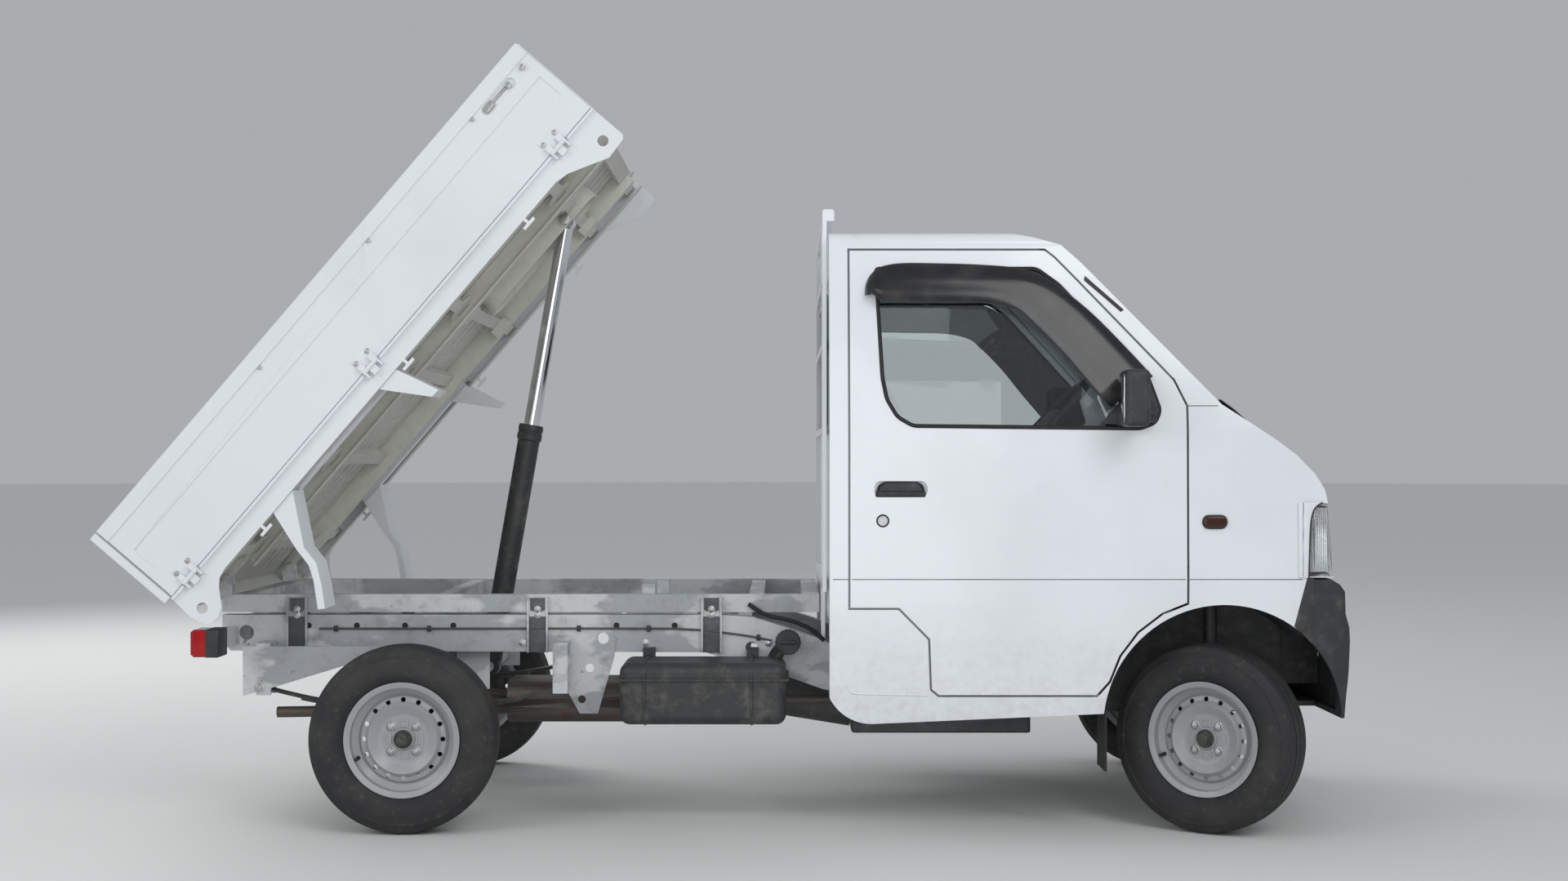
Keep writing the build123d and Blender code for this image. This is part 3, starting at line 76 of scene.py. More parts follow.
def objectMode():
    bpy.ops.object.mode_set(mode="OBJECT")


def applyPlace(piece):
    pick(piece)
    bpy.ops.object.transform_apply(location=True, rotation=True, scale=True)


def applyModifiers(piece):
    pick(piece)
    for modifier in list(piece.modifiers):
        bpy.ops.object.modifier_apply(modifier=modifier.name)


def mendNormals(piece):
    editAll(piece)
    bpy.ops.mesh.remove_doubles(threshold=weldReach)
    bpy.ops.mesh.normals_make_consistent(inside=False)
    objectMode()


def bevelEdges(piece, width, segments=2, angle=35):
    modifier = piece.modifiers.new("edges", "BEVEL")
    modifier.width = width
    modifier.segments = segments
    modifier.limit_method = "ANGLE"
    modifier.angle_limit = radians(angle)
    modifier.miter_outer = "MITER_ARC"
    applyModifiers(piece)


def smooth(piece, angle=35):
    pick(piece)
    bpy.ops.object.shade_smooth_by_angle(angle=radians(angle))


def moveBy(piece, matrix):
    piece.matrix_world = matrix @ piece.matrix_world
    applyPlace(piece)


def finishPiece(piece, material, body="chassis", angle=35):
    # the last step of every piece: coloured, smooth, riding on its body
    piece.data.materials.clear()
    piece.data.materials.append(material)
    applyPlace(piece)
    smooth(piece, angle)
    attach(piece, body)
    deselectAll()
    return piece


def joinPieces(name, pieces):
    pick(*pieces)
    bpy.ops.object.join()
    joined = bpy.context.object
    joined.name = name
    return joined


def copyPiece(piece, name):
    twin = piece.copy()
    twin.data = piece.data.copy()
    twin.name = name
    for label in [label for label in twin.keys() if label.startswith("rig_")]:
        del twin[label]
    bpy.context.scene.collection.objects.link(twin)
    return twin


def finishJoined(name, pieces, material, body="chassis", angle=35):
    return finishPiece(joinPieces(name, pieces), material, body, angle)


# Shapes that the pieces start from

def block(name, corner, opposite, bevel=0.003, segments=2):
    # a box between two opposite corners, given in any order
    low, high = (Vector([choose(pair) for pair in zip(corner, opposite)]) for choose in (min, max))
    deselectAll()
    bpy.ops.mesh.primitive_cube_add(size=1, location=(low + high) / 2, scale=high - low)
    piece = bpy.context.object
    piece.name = name
    applyPlace(piece)
    if bevel:
        bevelEdges(piece, bevel, segments)
    return piece


def sideBlock(name, side, corner, opposite, bevel=0.003, segments=2):
    # a box on one side of the truck, its corners given for the left side
    return block(name, *((x, side * y, z) for x, y, z in (corner, opposite)), bevel, segments)


def bar(name, start, end, radius, edges=24, bevel=0.0, endRadius=None):
    start, end = Vector(start), Vector(end)
    run = end - start
    deselectAll()
    bpy.ops.mesh.primitive_cone_add(
        vertices=edges, radius1=radius, radius2=radius if endRadius is None else endRadius, depth=run.length,
        location=(start + end) / 2, rotation=run.to_track_quat("Z", "Y").to_euler())
    piece = bpy.context.object
    piece.name = name
    applyPlace(piece)
    if bevel:
        bevelEdges(piece, bevel, 2, 50)
    return piece


def outlineRing(name, points):
    # a ring whose corners are drawn onto the points of an outline
    deselectAll()
    bpy.ops.mesh.primitive_circle_add(vertices=len(points), radius=1, fill_type="NOTHING")
    piece = bpy.context.object
    piece.name = name
    for vertex, point in zip(piece.data.vertices, points):
        vertex.co = Vector(point)
    return piece


def openRing(piece):
    # takes away the edge that closes the ring
    ends = {0, len(piece.data.vertices) - 1}
    editMode(piece)
    bpy.ops.mesh.select_mode(type="EDGE")
    bpy.ops.mesh.select_all(action="DESELECT")
    objectMode()
    for edge in piece.data.edges:
        edge.select = set(edge.vertices) == ends
    editMode(piece)
    bpy.ops.mesh.delete(type="EDGE_FACE")
    bpy.ops.mesh.select_mode(type="VERT")
    objectMode()


def panel(name, points, push, bevel=0.002, segments=2):
    # a flat outline, filled and pulled to its thickness
    piece = outlineRing(name, points)
    editAll(piece)
    bpy.ops.mesh.edge_face_add()
    bpy.ops.mesh.extrude_region_move(TRANSFORM_OT_translate={"value": tuple(push)})
    bpy.ops.mesh.select_all(action="SELECT")
    bpy.ops.mesh.normals_make_consistent(inside=False)
    objectMode()
    if bevel:
        bevelEdges(piece, bevel, segments)
    return piece


def turnTo(axis):
    return Vector(wheelAxis).rotation_difference(Vector(axis)).to_matrix().to_4x4()


def turned(name, profile, steps=64, centre=(0, 0, 0), axis=wheelAxis, closed=True):
    # a section in the XY plane, radius along X and height along Y, spun about the Y axis
    piece = outlineRing(name, [(radius, along, 0) for radius, along in profile])
    if not closed:
        openRing(piece)
    editAll(piece)
    bpy.ops.mesh.spin(steps=steps, angle=tau, center=(0, 0, 0), axis=wheelAxis)
    bpy.ops.mesh.select_all(action="SELECT")
    bpy.ops.mesh.remove_doubles(threshold=weldReach)
    bpy.ops.mesh.normals_make_consistent(inside=False)
    objectMode()
    moveBy(piece, Matrix.Translation(Vector(centre)) @ turnTo(axis))
    return piece


def wire(name, points, radius, closed=False, corner=0.0):
    # a line of edges with rounded corners, made a curve, thickened and turned back into a mesh
    piece = outlineRing(name, points)
    if not closed:
        openRing(piece)
    if corner:
        editAll(piece)
        bpy.ops.mesh.bevel(offset=corner, segments=4, affect="VERTICES")
        objectMode()
    pick(piece)
    bpy.ops.object.convert(target="CURVE")
    piece = bpy.context.object
    piece.data.bevel_depth = radius
    piece.data.bevel_resolution = 2
    piece.data.use_fill_caps = not closed
    bpy.ops.object.convert(target="MESH")
    piece = bpy.context.object
    mendNormals(piece)
    return piece


def bentSheet(name, rows, thickness):
    # a grid drawn onto rows of points, then given its thickness
    deselectAll()
    bpy.ops.mesh.primitive_grid_add(x_subdivisions=len(rows[0]) - 1, y_subdivisions=len(rows) - 1, size=1)
    piece = bpy.context.object
    piece.name = name
    for vertex, point in zip(piece.data.vertices, [point for row in rows for point in row]):
        vertex.co = Vector(point)
    wall = piece.modifiers.new("wall", "SOLIDIFY")
    wall.thickness = thickness
    wall.offset = 0
    applyModifiers(piece)
    mendNormals(piece)
    return piece


# Materials: every finish reads Object coordinates, so that a pattern stays on its piece

def addNode(tree, kind, inputs):
    # a new node; an input is a value, or a socket that it is linked to
    node = tree.nodes.new("ShaderNode" + kind)
    for name, value in inputs.items():
        if isinstance(value, bpy.types.NodeSocket):
            tree.links.new(value, node.inputs[name])
        else:
            node.inputs[name].default_value = value
    return node


def newFinish(name, colour, roughness, metallic=0.0, coat=0.0, coatRoughness=0.1):
    material = bpy.data.materials.new(name)
    material.use_nodes = True
    tree = material.node_tree
    shader = tree.nodes["Principled BSDF"]
    for socket, value in (("Base Color", (*colour, 1)), ("Roughness", roughness), ("Metallic", metallic),
                          ("Coat Weight", coat), ("Coat Roughness", coatRoughness)):
        shader.inputs[socket].default_value = value
    return material, tree, shader, addNode(tree, "TexCoord", {}).outputs["Object"]


def noise(tree, place, scale, detail=4.0, stretch=(1, 1, 1), roughness=0.55):
    mapping = addNode(tree, "Mapping", {"Scale": stretch, "Vector": place})
    texture = addNode(tree, "TexNoise", {"Scale": scale, "Detail": detail, "Roughness": roughness,
                                         "Vector": mapping.outputs["Vector"]})
    return texture.outputs["Fac"]


def levels(tree, value, low, high, bottom=0.0, top=1.0):
    # stretches a value between two levels, smoothly
    ramp = addNode(tree, "MapRange",
                   {"From Min": low, "From Max": high, "To Min": bottom, "To Max": top, "Value": value})
    ramp.interpolation_type = "SMOOTHSTEP"
    return ramp.outputs["Result"]


def combine(tree, first, second, operation="MULTIPLY"):
    node = addNode(tree, "Math", {})
    node.operation = operation
    for socket, value in zip(node.inputs, (first, second)):
        if isinstance(value, (int, float)):
            socket.default_value = value
        else:
            tree.links.new(value, socket)
    return node.outputs["Value"]


def height(tree, place):
    return addNode(tree, "SeparateXYZ", {"Vector": place}).outputs["Z"]


# where a mix node keeps the sockets for colours
mixSockets = {"factor": 0, "below": 6, "above": 7, "result": 2}


def tint(tree, shader, under, colour, mask):
    # lays one colour over what the shader has, where the mask says
    mix = addNode(tree, "Mix", {})
    mix.data_type = "RGBA"
    factor, below, above = (mix.inputs[mixSockets[key]] for key in ("factor", "below", "above"))
    above.default_value = (*colour, 1)
    if under is None:
        below.default_value = shader.inputs["Base Color"].default_value
    else:
        tree.links.new(under, below)
    tree.links.new(mask, factor)
    result = mix.outputs[mixSockets["result"]]
    tree.links.new(result, shader.inputs["Base Color"])
    return result


def roughen(tree, shader, mask, low, high):
    tree.links.new(levels(tree, mask, 0, 1, low, high), shader.inputs["Roughness"])


def bumps(tree, shader, value, distance):
    bump = addNode(tree, "Bump", {"Distance": distance, "Strength": 1.0, "Height": value})
    tree.links.new(bump.outputs["Normal"], shader.inputs["Normal"])


dustColour = (0.40, 0.37, 0.33)
rustColour = (0.22, 0.085, 0.035)
grimeColour = (0.18, 0.165, 0.15)
streakColour = (0.33, 0.29, 0.25)
wornRubberColour = (0.075, 0.072, 0.068)


def paintFinish(name, colour, roughness, coat, dustTop, dust, rust=0.0, streaks=0.0):
    # sprayed paint with road dust that thins out upwards, faint runs and specks of rust
    material, tree, shader, place = newFinish(name, colour, roughness, coat=coat, coatRoughness=0.08)
    cloud = noise(tree, place, 2.2, 5)
    shade = tint(tree, shader, None, tuple(0.93 * part for part in colour), levels(tree, cloud, 0.42, 0.66, 0, 0.8))
    low = levels(tree, height(tree, place), dustTop, 0.15, 0, 1)
    speckle = levels(tree, noise(tree, place, 34, 6, roughness=0.7), 0.38, 0.72)
    dirt = combine(tree, combine(tree, low, speckle), dust)
    shade = tint(tree, shader, shade, dustColour, dirt)
    if streaks:
        run = noise(tree, place, 26, 3, (1, 1, 0.05))
        runs = combine(tree, levels(tree, run, 0.60, 0.78), levels(tree, cloud, 0.45, 0.6, 0, streaks))
        shade = tint(tree, shader, shade, streakColour, runs)
    if rust:
        specks = levels(tree, noise(tree, place, 58, 7, roughness=0.75), 0.69, 0.74, 0, rust)
        patches = levels(tree, noise(tree, place, 7, 3), 0.50, 0.66)
        shade = tint(tree, shader, shade, rustColour, combine(tree, specks, patches))
    roughen(tree, shader, dirt, roughness, min(0.9, roughness + 0.4))
    bumps(tree, shader, noise(tree, place, 420, 2), 0.00006)
    return material


def plainFinish(name, colour, roughness, metallic=0.0, grain=300, depth=0.00015, variation=0.12, dust=0.25):
    # moulded, cast or forged surfaces: a fine grain, an uneven tone and settled dust
    material, tree, shader, place = newFinish(name, colour, roughness, metallic)
    cloud = noise(tree, place, 9, 5)
    darker = tuple((1 - variation) * part for part in colour)
    shade = tint(tree, shader, None, darker, levels(tree, cloud, 0.35, 0.65))
    settled = levels(tree, noise(tree, place, 21, 6, roughness=0.7), 0.46, 0.78, 0, dust)
    tint(tree, shader, shade, dustColour, settled)
    roughen(tree, shader, cloud, roughness * 0.85, min(1, roughness * 1.2))
    bumps(tree, shader, noise(tree, place, grain, 3), depth)
    return material


def metalFinish(name, colour, roughness, scratches, rust=0.0):
    # bare metal, brushed along X
    material, tree, shader, place = newFinish(name, colour, roughness, 1.0)
    brushed = noise(tree, place, 60, 4, (1, 12, 12))
    shade = tint(tree, shader, None, tuple(0.7 * part for part in colour),
                 levels(tree, brushed, 0.45, 0.7, 0, scratches))
    if rust:
        specks = levels(tree, noise(tree, place, 45, 6, roughness=0.7), 0.52, 0.68, 0, rust)
        tint(tree, shader, shade, rustColour, specks)
    roughen(tree, shader, brushed, roughness * 0.7, roughness * 1.5)
    bumps(tree, shader, brushed, 0.00005)
    return material


def overspray(name, colour, lighter, roughness, rust):
    # the frame's grey paint with lighter patches sprayed over it and rust where it chipped
    material, tree, shader, place = newFinish(name, colour, roughness)
    patch = noise(tree, place, 3.1, 4, (1, 1, 2))
    shade = tint(tree, shader, None, lighter, levels(tree, patch, 0.47, 0.53, 0, 0.85))
    grime = levels(tree, noise(tree, place, 15, 6, roughness=0.7), 0.45, 0.75, 0, 0.5)
    shade = tint(tree, shader, shade, grimeColour, grime)
    chips = levels(tree, noise(tree, place, 40, 6, roughness=0.75), 0.62, 0.70, 0, rust)
    tint(tree, shader, shade, rustColour, chips)
    roughen(tree, shader, grime, roughness, 0.85)
    bumps(tree, shader, noise(tree, place, 160, 4), 0.0003)
    return material


def glassFinish(name, colour, roughness=0.0, transmission=1.0):
    material, tree, shader, place = newFinish(name, colour, roughness)
    shader.inputs["Transmission Weight"].default_value = transmission
    shader.inputs["IOR"].default_value = 1.45
    film = levels(tree, noise(tree, place, 12, 5), 0.5, 0.8, roughness, roughness + 0.12)
    tree.links.new(film, shader.inputs["Roughness"])
    return material


def smokedFinish(name, colour, roughness, cover):
    # a tinted sheet that hides part of what is behind it
    material, tree, shader, place = newFinish(name, colour, roughness)
    shader.inputs["Alpha"].default_value = cover
    tint(tree, shader, None, dustColour, levels(tree, noise(tree, place, 14, 5), 0.45, 0.8, 0, 0.10))
    return material


def clothFinish(name, colour, accent):
    # woven seat cloth: two crossed waves for the weave and a soft sheen
    material, tree, shader, place = newFinish(name, colour, 0.85)
    shader.inputs["Sheen Weight"].default_value = 0.4
    weave = None
    for direction in ("X", "Z"):
        wave = addNode(tree, "TexWave", {"Scale": 130, "Vector": place})
        wave.bands_direction = direction
        weave = wave.outputs["Fac"] if weave is None else combine(tree, weave, wave.outputs["Fac"])
    shade = tint(tree, shader, None, accent, levels(tree, weave, 0.2, 0.9, 0, 0.8))
    tint(tree, shader, shade, dustColour, levels(tree, noise(tree, place, 8, 4), 0.5, 0.8, 0, 0.15))
    bumps(tree, shader, weave, 0.0006)
    return material


def rubberFinish(name, colour, dust):
    # black rubber, worn paler in clouds and dusty in specks
    material, tree, shader, place = newFinish(name, colour, 0.75)
    cloud = noise(tree, place, 6, 6)
    shade = tint(tree, shader, None, wornRubberColour, levels(tree, cloud, 0.4, 0.7, 0, dust))
    tint(tree, shader, shade, dustColour,
         levels(tree, noise(tree, place, 48, 5, roughness=0.7), 0.55, 0.8, 0, dust * 0.5))
    bumps(tree, shader, noise(tree, place, 350, 3), 0.0002)
    return material


# the cab's and bed's paint is white; its cool blue tint is painted skylight, the blue cast of shade under a clear sky
cabPaint = paintFinish("cabPaint", (0.78, 0.81, 0.85), 0.28, 0.5, 0.75, 0.35, streaks=0.10)
bedPaint = paintFinish("bedPaint", (0.74, 0.77, 0.80), 0.42, 0.15, 0.5, 0.3, rust=0.8, streaks=0.3)
# the bed's underside: white paint whose cream colour is painted warm bounce light from the ground, with real dust, runs
# and rust
bedUnderPaintedBounce = paintFinish("bedUnderPaintedBounce", (0.64, 0.63, 0.58), 0.6, 0.0, 3.5, 0.35, rust=0.7, streaks=0.3)
framePaint = overspray("framePaint", (0.36, 0.38, 0.40), (0.60, 0.62, 0.63), 0.55, 0.7)
chassisBlack = plainFinish("chassisBlack", (0.030, 0.031, 0.033), 0.5, dust=0.20)
blackPlastic = plainFinish("blackPlastic", (0.028, 0.030, 0.034), 0.55, grain=500, dust=0.13)
greyPlastic = plainFinish("greyPlastic", (0.10, 0.105, 0.11), 0.6, grain=500, dust=0.15)
wheelSilver = paintFinish("wheelSilver", (0.33, 0.34, 0.36), 0.36, 0.2, 0.6, 0.40, rust=0.5)
tyreRubber = rubberFinish("tyreRubber", (0.020, 0.020, 0.022), 0.28)
sealRubber = rubberFinish("sealRubber", (0.016, 0.016, 0.018), 0.15)
engineIron = plainFinish("engineIron", (0.11, 0.11, 0.115), 0.6, 0.6, grain=80, depth=0.0004, dust=0.3)
axleIron = plainFinish("axleIron", (0.055, 0.052, 0.05), 0.65, 0.3, grain=90, depth=0.0004, dust=0.4)
pipeSteel = metalFinish("pipeSteel", (0.16, 0.145, 0.135), 0.55, 0.3, 0.6)
boltSteel = metalFinish("boltSteel", (0.50, 0.50, 0.50), 0.35, 0.2, 0.35)
chrome = metalFinish("chrome", (0.80, 0.81, 0.83), 0.10, 0.1)
mirrorGlass = metalFinish("mirrorGlass", (0.85, 0.87, 0.88), 0.03, 0.0)
clearGlass = glassFinish("clearGlass", (0.90, 0.95, 0.95))
smokedGlass = smokedFinish("smokedGlass", (0.018, 0.018, 0.021), 0.16, 0.80)
lensClear = glassFinish("lensClear", (0.95, 0.97, 0.98))
lensRed = glassFinish("lensRed", (0.50, 0.008, 0.010), 0.05, 0.35)
lensAmber = glassFinish("lensAmber", (0.75, 0.20, 0.012), 0.05, 0.4)
# a dark grey for plates laid over the clamp recesses: painted shade of the recesses in the frame paint, with some dust
clampPaintedShade = plainFinish("clampPaintedShade", (0.085, 0.090, 0.100), 0.7, grain=160, dust=0.3)
# the side marker's amber lens darkened to brown: painted shade
markerLensPaintedShade = glassFinish("markerLensPaintedShade", (0.060, 0.016, 0.008), 0.05, 0.25)
reflectorSilver = plainFinish("reflectorSilver", (0.80, 0.81, 0.82), 0.22, 0.75, grain=40, variation=0.05, dust=0.05)
# a dark grey for the crease lines: painted shade in the panel creases, with some dust
creasePaintedShade = plainFinish("creasePaintedShade", (0.23, 0.24, 0.26), 0.7, variation=0.3)
seatCloth = clothFinish("seatCloth", (0.075, 0.080, 0.088), (0.16, 0.17, 0.18))
plateWhite = paintFinish("plateWhite", (0.74, 0.75, 0.72), 0.4, 0.3, 0.4, 0.2)
print("materials made")


# The frame's own pieces, each a merged copy with eased edges

def dress(node, material, bevel):
    # a node's own shape with eased edges and even shading, in place of the plain solid
    piece = copyPiece(frame["nodes"][node], node + ".skin")
    piece.parent = None
    piece.matrix_world = Matrix.Identity(4)
    editAll(piece)
    bpy.ops.mesh.remove_doubles(threshold=weldReach / 2)
    objectMode()
    if bevel:
        bevelEdges(piece, bevel, 2, skinAngle)
    finishPiece(piece, material, bodyOfNode[node], skinAngle)
    flat = piece.modifiers.new("flat", "WEIGHTED_NORMAL")
    flat.keep_sharp = True
    applyModifiers(piece)
    deselectAll()
    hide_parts(node)
    return piece


dressing = [
    ("cab_shell", cabPaint, 0.002), ("front_panel", cabPaint, 0.003),
    ("door_right", cabPaint, 0.0025), ("door_left", cabPaint, 0.0025),
    ("front_bumper", blackPlastic, 0.004), ("cab_guard", cabPaint, 0.002),
    ("door_hinges", cabPaint, 0.001),
    ("chassis_frame", framePaint, 0.002), ("bed_subframe", framePaint, 0.002),
    # bed_floor and bed_underframe start in the cream of painted bounce light from the ground
    ("bed_floor", bedUnderPaintedBounce, 0.0015), ("bed_underframe", bedUnderPaintedBounce, 0.0015),
    ("bed_front_panel", bedPaint, 0.003),
    ("gate_right", bedPaint, 0.003), ("gate_left", bedPaint, 0.003),
    ("tailgate", bedPaint, 0.003), ("bed_mudguards", bedPaint, 0.002),
    ("dashboard", greyPlastic, 0.012), ("steering_column", chassisBlack, 0.001),
    ("steering_wheel", blackPlastic, 0.0), ("rear_axle", axleIron, 0.003),
    ("leaf_springs", chassisBlack, 0.002), ("engine_block", engineIron, 0.01),
    ("driveline", engineIron, 0.006), ("exhaust", pipeSteel, 0.0),
    ("fuel_tank", chassisBlack, 0.001), ("front_suspension", chassisBlack, 0.003),
    ("knuckle_right", axleIron, 0.002), ("knuckle_left", axleIron, 0.002),
    ("rear_bar", framePaint, 0.002), ("mudflaps", sealRubber, 0.0008),
    ("ram_barrel", chassisBlack, 0.002), ("ram_rod", chrome, 0.0015),
    ("cab_glass", clearGlass, 0.0), ("door_glass_right", clearGlass, 0.0),
    ("door_glass_left", clearGlass, 0.0), ("headlamps", lensClear, 0.006),
    ("tail_lamps", lensRed, 0.005), ("mirror_right", blackPlastic, 0.0),
    ("mirror_left", blackPlastic, 0.0),
]
for place in wheels:
    dressing.append(("rim_" + place, wheelSilver, 0.001))
skins = {node: dress(node, material, bevel) for node, material, bevel in dressing}


def secondFinish(piece, material, chosen, place=Matrix.Identity(4)):
    # gives the faces that a test chooses another finish; the test reads centres and normals in the given place
    back = place.inverted()
    turn = back.to_3x3()
    piece.data.materials.append(material)
    for polygon in piece.data.polygons:
        if chosen(back @ polygon.center, turn @ polygon.normal):
            polygon.material_index = len(piece.data.materials) - 1


print("frame dressed")


# Places that several pieces share

def wheelPlace(name):
    # from a wheel drawn upright with its outer face towards -Y to where it stands
    joint = joints["wheel_" + name + "_spin"]
    turn = turnTo(joint["axis"])
    if name.endswith("left"):
        turn = turn @ Matrix.Rotation(pi, 4, "Z")
    return Matrix.Translation(Vector(joint["pos_m"])) @ turn


bedTilt = joints["bed_tilt"]
bedPivot = Vector(bedTilt["pos_m"])
bedOrigin = bedPivot + Vector((-0.070, 0, 0.038))     # where the gates' hinge line meets the level bed's rear edge
bedPlace = (Matrix.Translation(bedPivot) @ Matrix.Rotation(-radians(bedTilt["range_deg"][1]), 4, "Y")
            @ Matrix.Translation(bedOrigin - bedPivot))

# the bed's skirts, lips and upper side are sprayed like its gates; its underside keeps a cream colour, which is painted
# warm light bounced up from the ground onto the same white paint
bedOuter = {"skirt": 0.690, "lip": 0.002}
secondFinish(skins["bed_floor"], bedPaint, lambda centre, normal:
             abs(centre.y) > bedOuter["skirt"] or normal.z > 0.5 or centre.x < bedOuter["lip"], bedPlace)

# inside the wheel arches and under the floor the cab is coated dark
arch = {"along": 1.420, "up": 0.321, "reach": 0.356, "inner": 0.395, "innerWall": 0.420, "outer": 0.7265,
        "wallTop": 0.68}
archCentre = Vector((arch["along"], 0, arch["up"]))


def underCab(centre, normal):
    across, facingOut = abs(centre.y), abs(normal.y)
    overWheel = abs(centre.x - archCentre.x) < arch["reach"]
    roundWheel = ((Vector((centre.x, 0, centre.z)) - archCentre).length < arch["reach"]
                  or (overWheel and centre.z < arch["up"]))
    lining = roundWheel and arch["inner"] < across < arch["outer"] and facingOut < 0.98
    wall = overWheel and arch["inner"] < across < arch["innerWall"] and facingOut > 0.9 and centre.z < arch["wallTop"]
    return lining or wall or (normal.z < -0.8 and centre.z < 0.50)


secondFinish(skins["cab_shell"], chassisBlack, underCab)


# Tyres: a spun section with four ribs, then grooves cut across them

tyreSize = {
    "radius": 0.271, "halfTread": 0.056, "bead": 0.1528, "halfRim": 0.0495,
    "grooveDepth": 0.0075, "grooveWidth": 0.0065, "grooves": (-0.030, 0.0, 0.030), "steps": 168, "pitch": 3,
    "treadReach": 0.2655, "shoulderFrom": 0.036, "middle": (0.006, 0.026), "cutEdge": 0.0022, "cutDepth": 0.0065,
    "crownDrop": 0.0042, "shoulderDrop": 0.0022,
    "wall": ((0.168, 0.0530), (0.176, 0.0620), (0.186, 0.0690), (0.198, 0.0725), (0.212, 0.0735), (0.226, 0.0722),
             (0.238, 0.0690), (0.240, 0.0700), (0.244, 0.0692), (0.246, 0.0672), (0.254, 0.0635), (0.262, 0.0592)),
    "insideLip": 0.041, "inside": ((0.174, 0.045), (0.212, 0.062), (0.246, 0.050)), "insideCrown": (0.257, 0.0),
}


def tyreSection():
    # half a section from the bead to the crown, its mirror image, and the hollow inside
    size = tyreSize
    tread, drop = size["halfTread"], size["shoulderDrop"]
    crown = lambda y: size["radius"] - size["crownDrop"] * (abs(y) / tread) ** 2.2
    flank = [(size["bead"], size["halfRim"]), (size["bead"] + 0.012, size["halfRim"] + 0.002), *size["wall"],
             (crown(tread) - drop, tread + 0.0004), (crown(tread), tread - 0.002)]
    across = []
    for groove in size["grooves"]:
        low, high = groove - size["grooveWidth"] / 2, groove + size["grooveWidth"] / 2
        across += [(crown(low), low), (crown(low) - size["grooveDepth"], low + 0.0008),
                   (crown(high) - size["grooveDepth"], high - 0.0008), (crown(high), high)]
    inside = [(size["bead"], size["insideLip"]), *size["inside"]]
    return ([(r, -y) for r, y in flank] + across + flank[::-1] + inside + [size["insideCrown"]]
            + [(r, -y) for r, y in reversed(inside)])


def makeTyre():
    size = tyreSize
    piece = turned("tyreMaster", tyreSection(), size["steps"])
    # lateral grooves: every third face of each shoulder rib and every sixth of the middle ribs, staggered
    step = tau / size["steps"]
    for polygon in piece.data.polygons:
        centre = polygon.center
        around = int(round((atan2(centre.z, centre.x) % tau) / step - 0.5))
        reach = hypot(centre.x, centre.z)
        onTread, across = reach > size["treadReach"], abs(centre.y)
        shoulder = onTread and size["shoulderFrom"] < across < size["halfTread"]
        middle = onTread and size["middle"][0] < across < size["middle"][1]
        shift = 0 if centre.y > 0 else 1
        polygon.select = ((shoulder and around % size["pitch"] == shift)
                          or (middle and around % (2 * size["pitch"]) == size["pitch"] * shift))
    editMode(piece)
    bpy.ops.mesh.select_mode(type="FACE")
    bpy.ops.mesh.inset(thickness=size["cutEdge"], depth=0)
    bpy.ops.mesh.extrude_region_shrink_fatten(TRANSFORM_OT_shrink_fatten={"value": -size["cutDepth"]})
    bpy.ops.mesh.select_mode(type="VERT")
    objectMode()
    return piece


tyreMaster = makeTyre()
for name in wheels:
    tyre = copyPiece(tyreMaster, "tyre." + name)
    moveBy(tyre, wheelPlace(name))
    finishPiece(tyre, tyreRubber, "wheel_" + name, 30)
    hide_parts("tyre_" + name)
bpy.data.objects.remove(tyreMaster)
print("tyres made")


# The cab's own lines, repeated from the CAD so that trim lies on the skin

cabWidths = ((0.318, 0.702), (0.403, 0.718), (0.560, 0.731), (0.732, 0.737), (1.165, 0.729), (1.600, 0.668),
             (1.690, 0.648))
cabNose = ((0.318, 1.713), (0.735, 1.767), (0.955, 1.752), (0.990, 1.744), (1.032, 1.718), (1.086, 1.667),
           (1.132, 1.606), (1.179, 1.535), (1.232, 1.454), (1.642, 1.057), (1.694, 1.000))
bowCentre = -5.182


def between(table, level):
    for (lowLevel, lowValue), (highLevel, highValue) in zip(table, table[1:]):
        if level <= highLevel:
            break
    return lowValue + (highValue - lowValue) * (level - lowLevel) / (highLevel - lowLevel)


def onSide(side, x, z, out=0.0):
    # a point on the cab's side skin, or a step outwards from it
    return Vector((x, side * (between(cabWidths, z) + out), z))


def onNose(y, z, out=0.0):
    # a point on the bowed front or the windscreen, or a step outwards from it
    step = 0.004
    slope = (between(cabNose, z + step) - between(cabNose, z - step)) / (2 * step)
    facing = Vector((1, 0, -slope)).normalized()
    reach = between(cabNose, z) - bowCentre
    return Vector((bowCentre + (reach * reach - y * y) ** 0.5, y, z)) + out * facing


def rounded(low, high, radius, steps=5):
    # a rectangle's outline with rounded corners
    (lowX, lowZ), (highX, highZ) = low, high
    corners = ((highX - radius, lowZ + radius, -90), (highX - radius, highZ - radius, 0),
               (lowX + radius, highZ - radius, 90), (lowX + radius, lowZ + radius, 180))
    return [(x + radius * cos(radians(start + 90 * step / steps)), z + radius * sin(radians(start + 90 * step / steps)))
            for x, z, start in corners for step in range(steps + 1)]


def sidePanel(name, side, outline, low, high, bevel=0.001, segments=2):
    # a flat piece on the cab's side, between two steps out from the skin
    return panel(name, [onSide(side, x, z, low) for x, z in outline], (0, side * (high - low), 0), bevel, segments)


# Door trim: visor, seals, handle, lock, door card

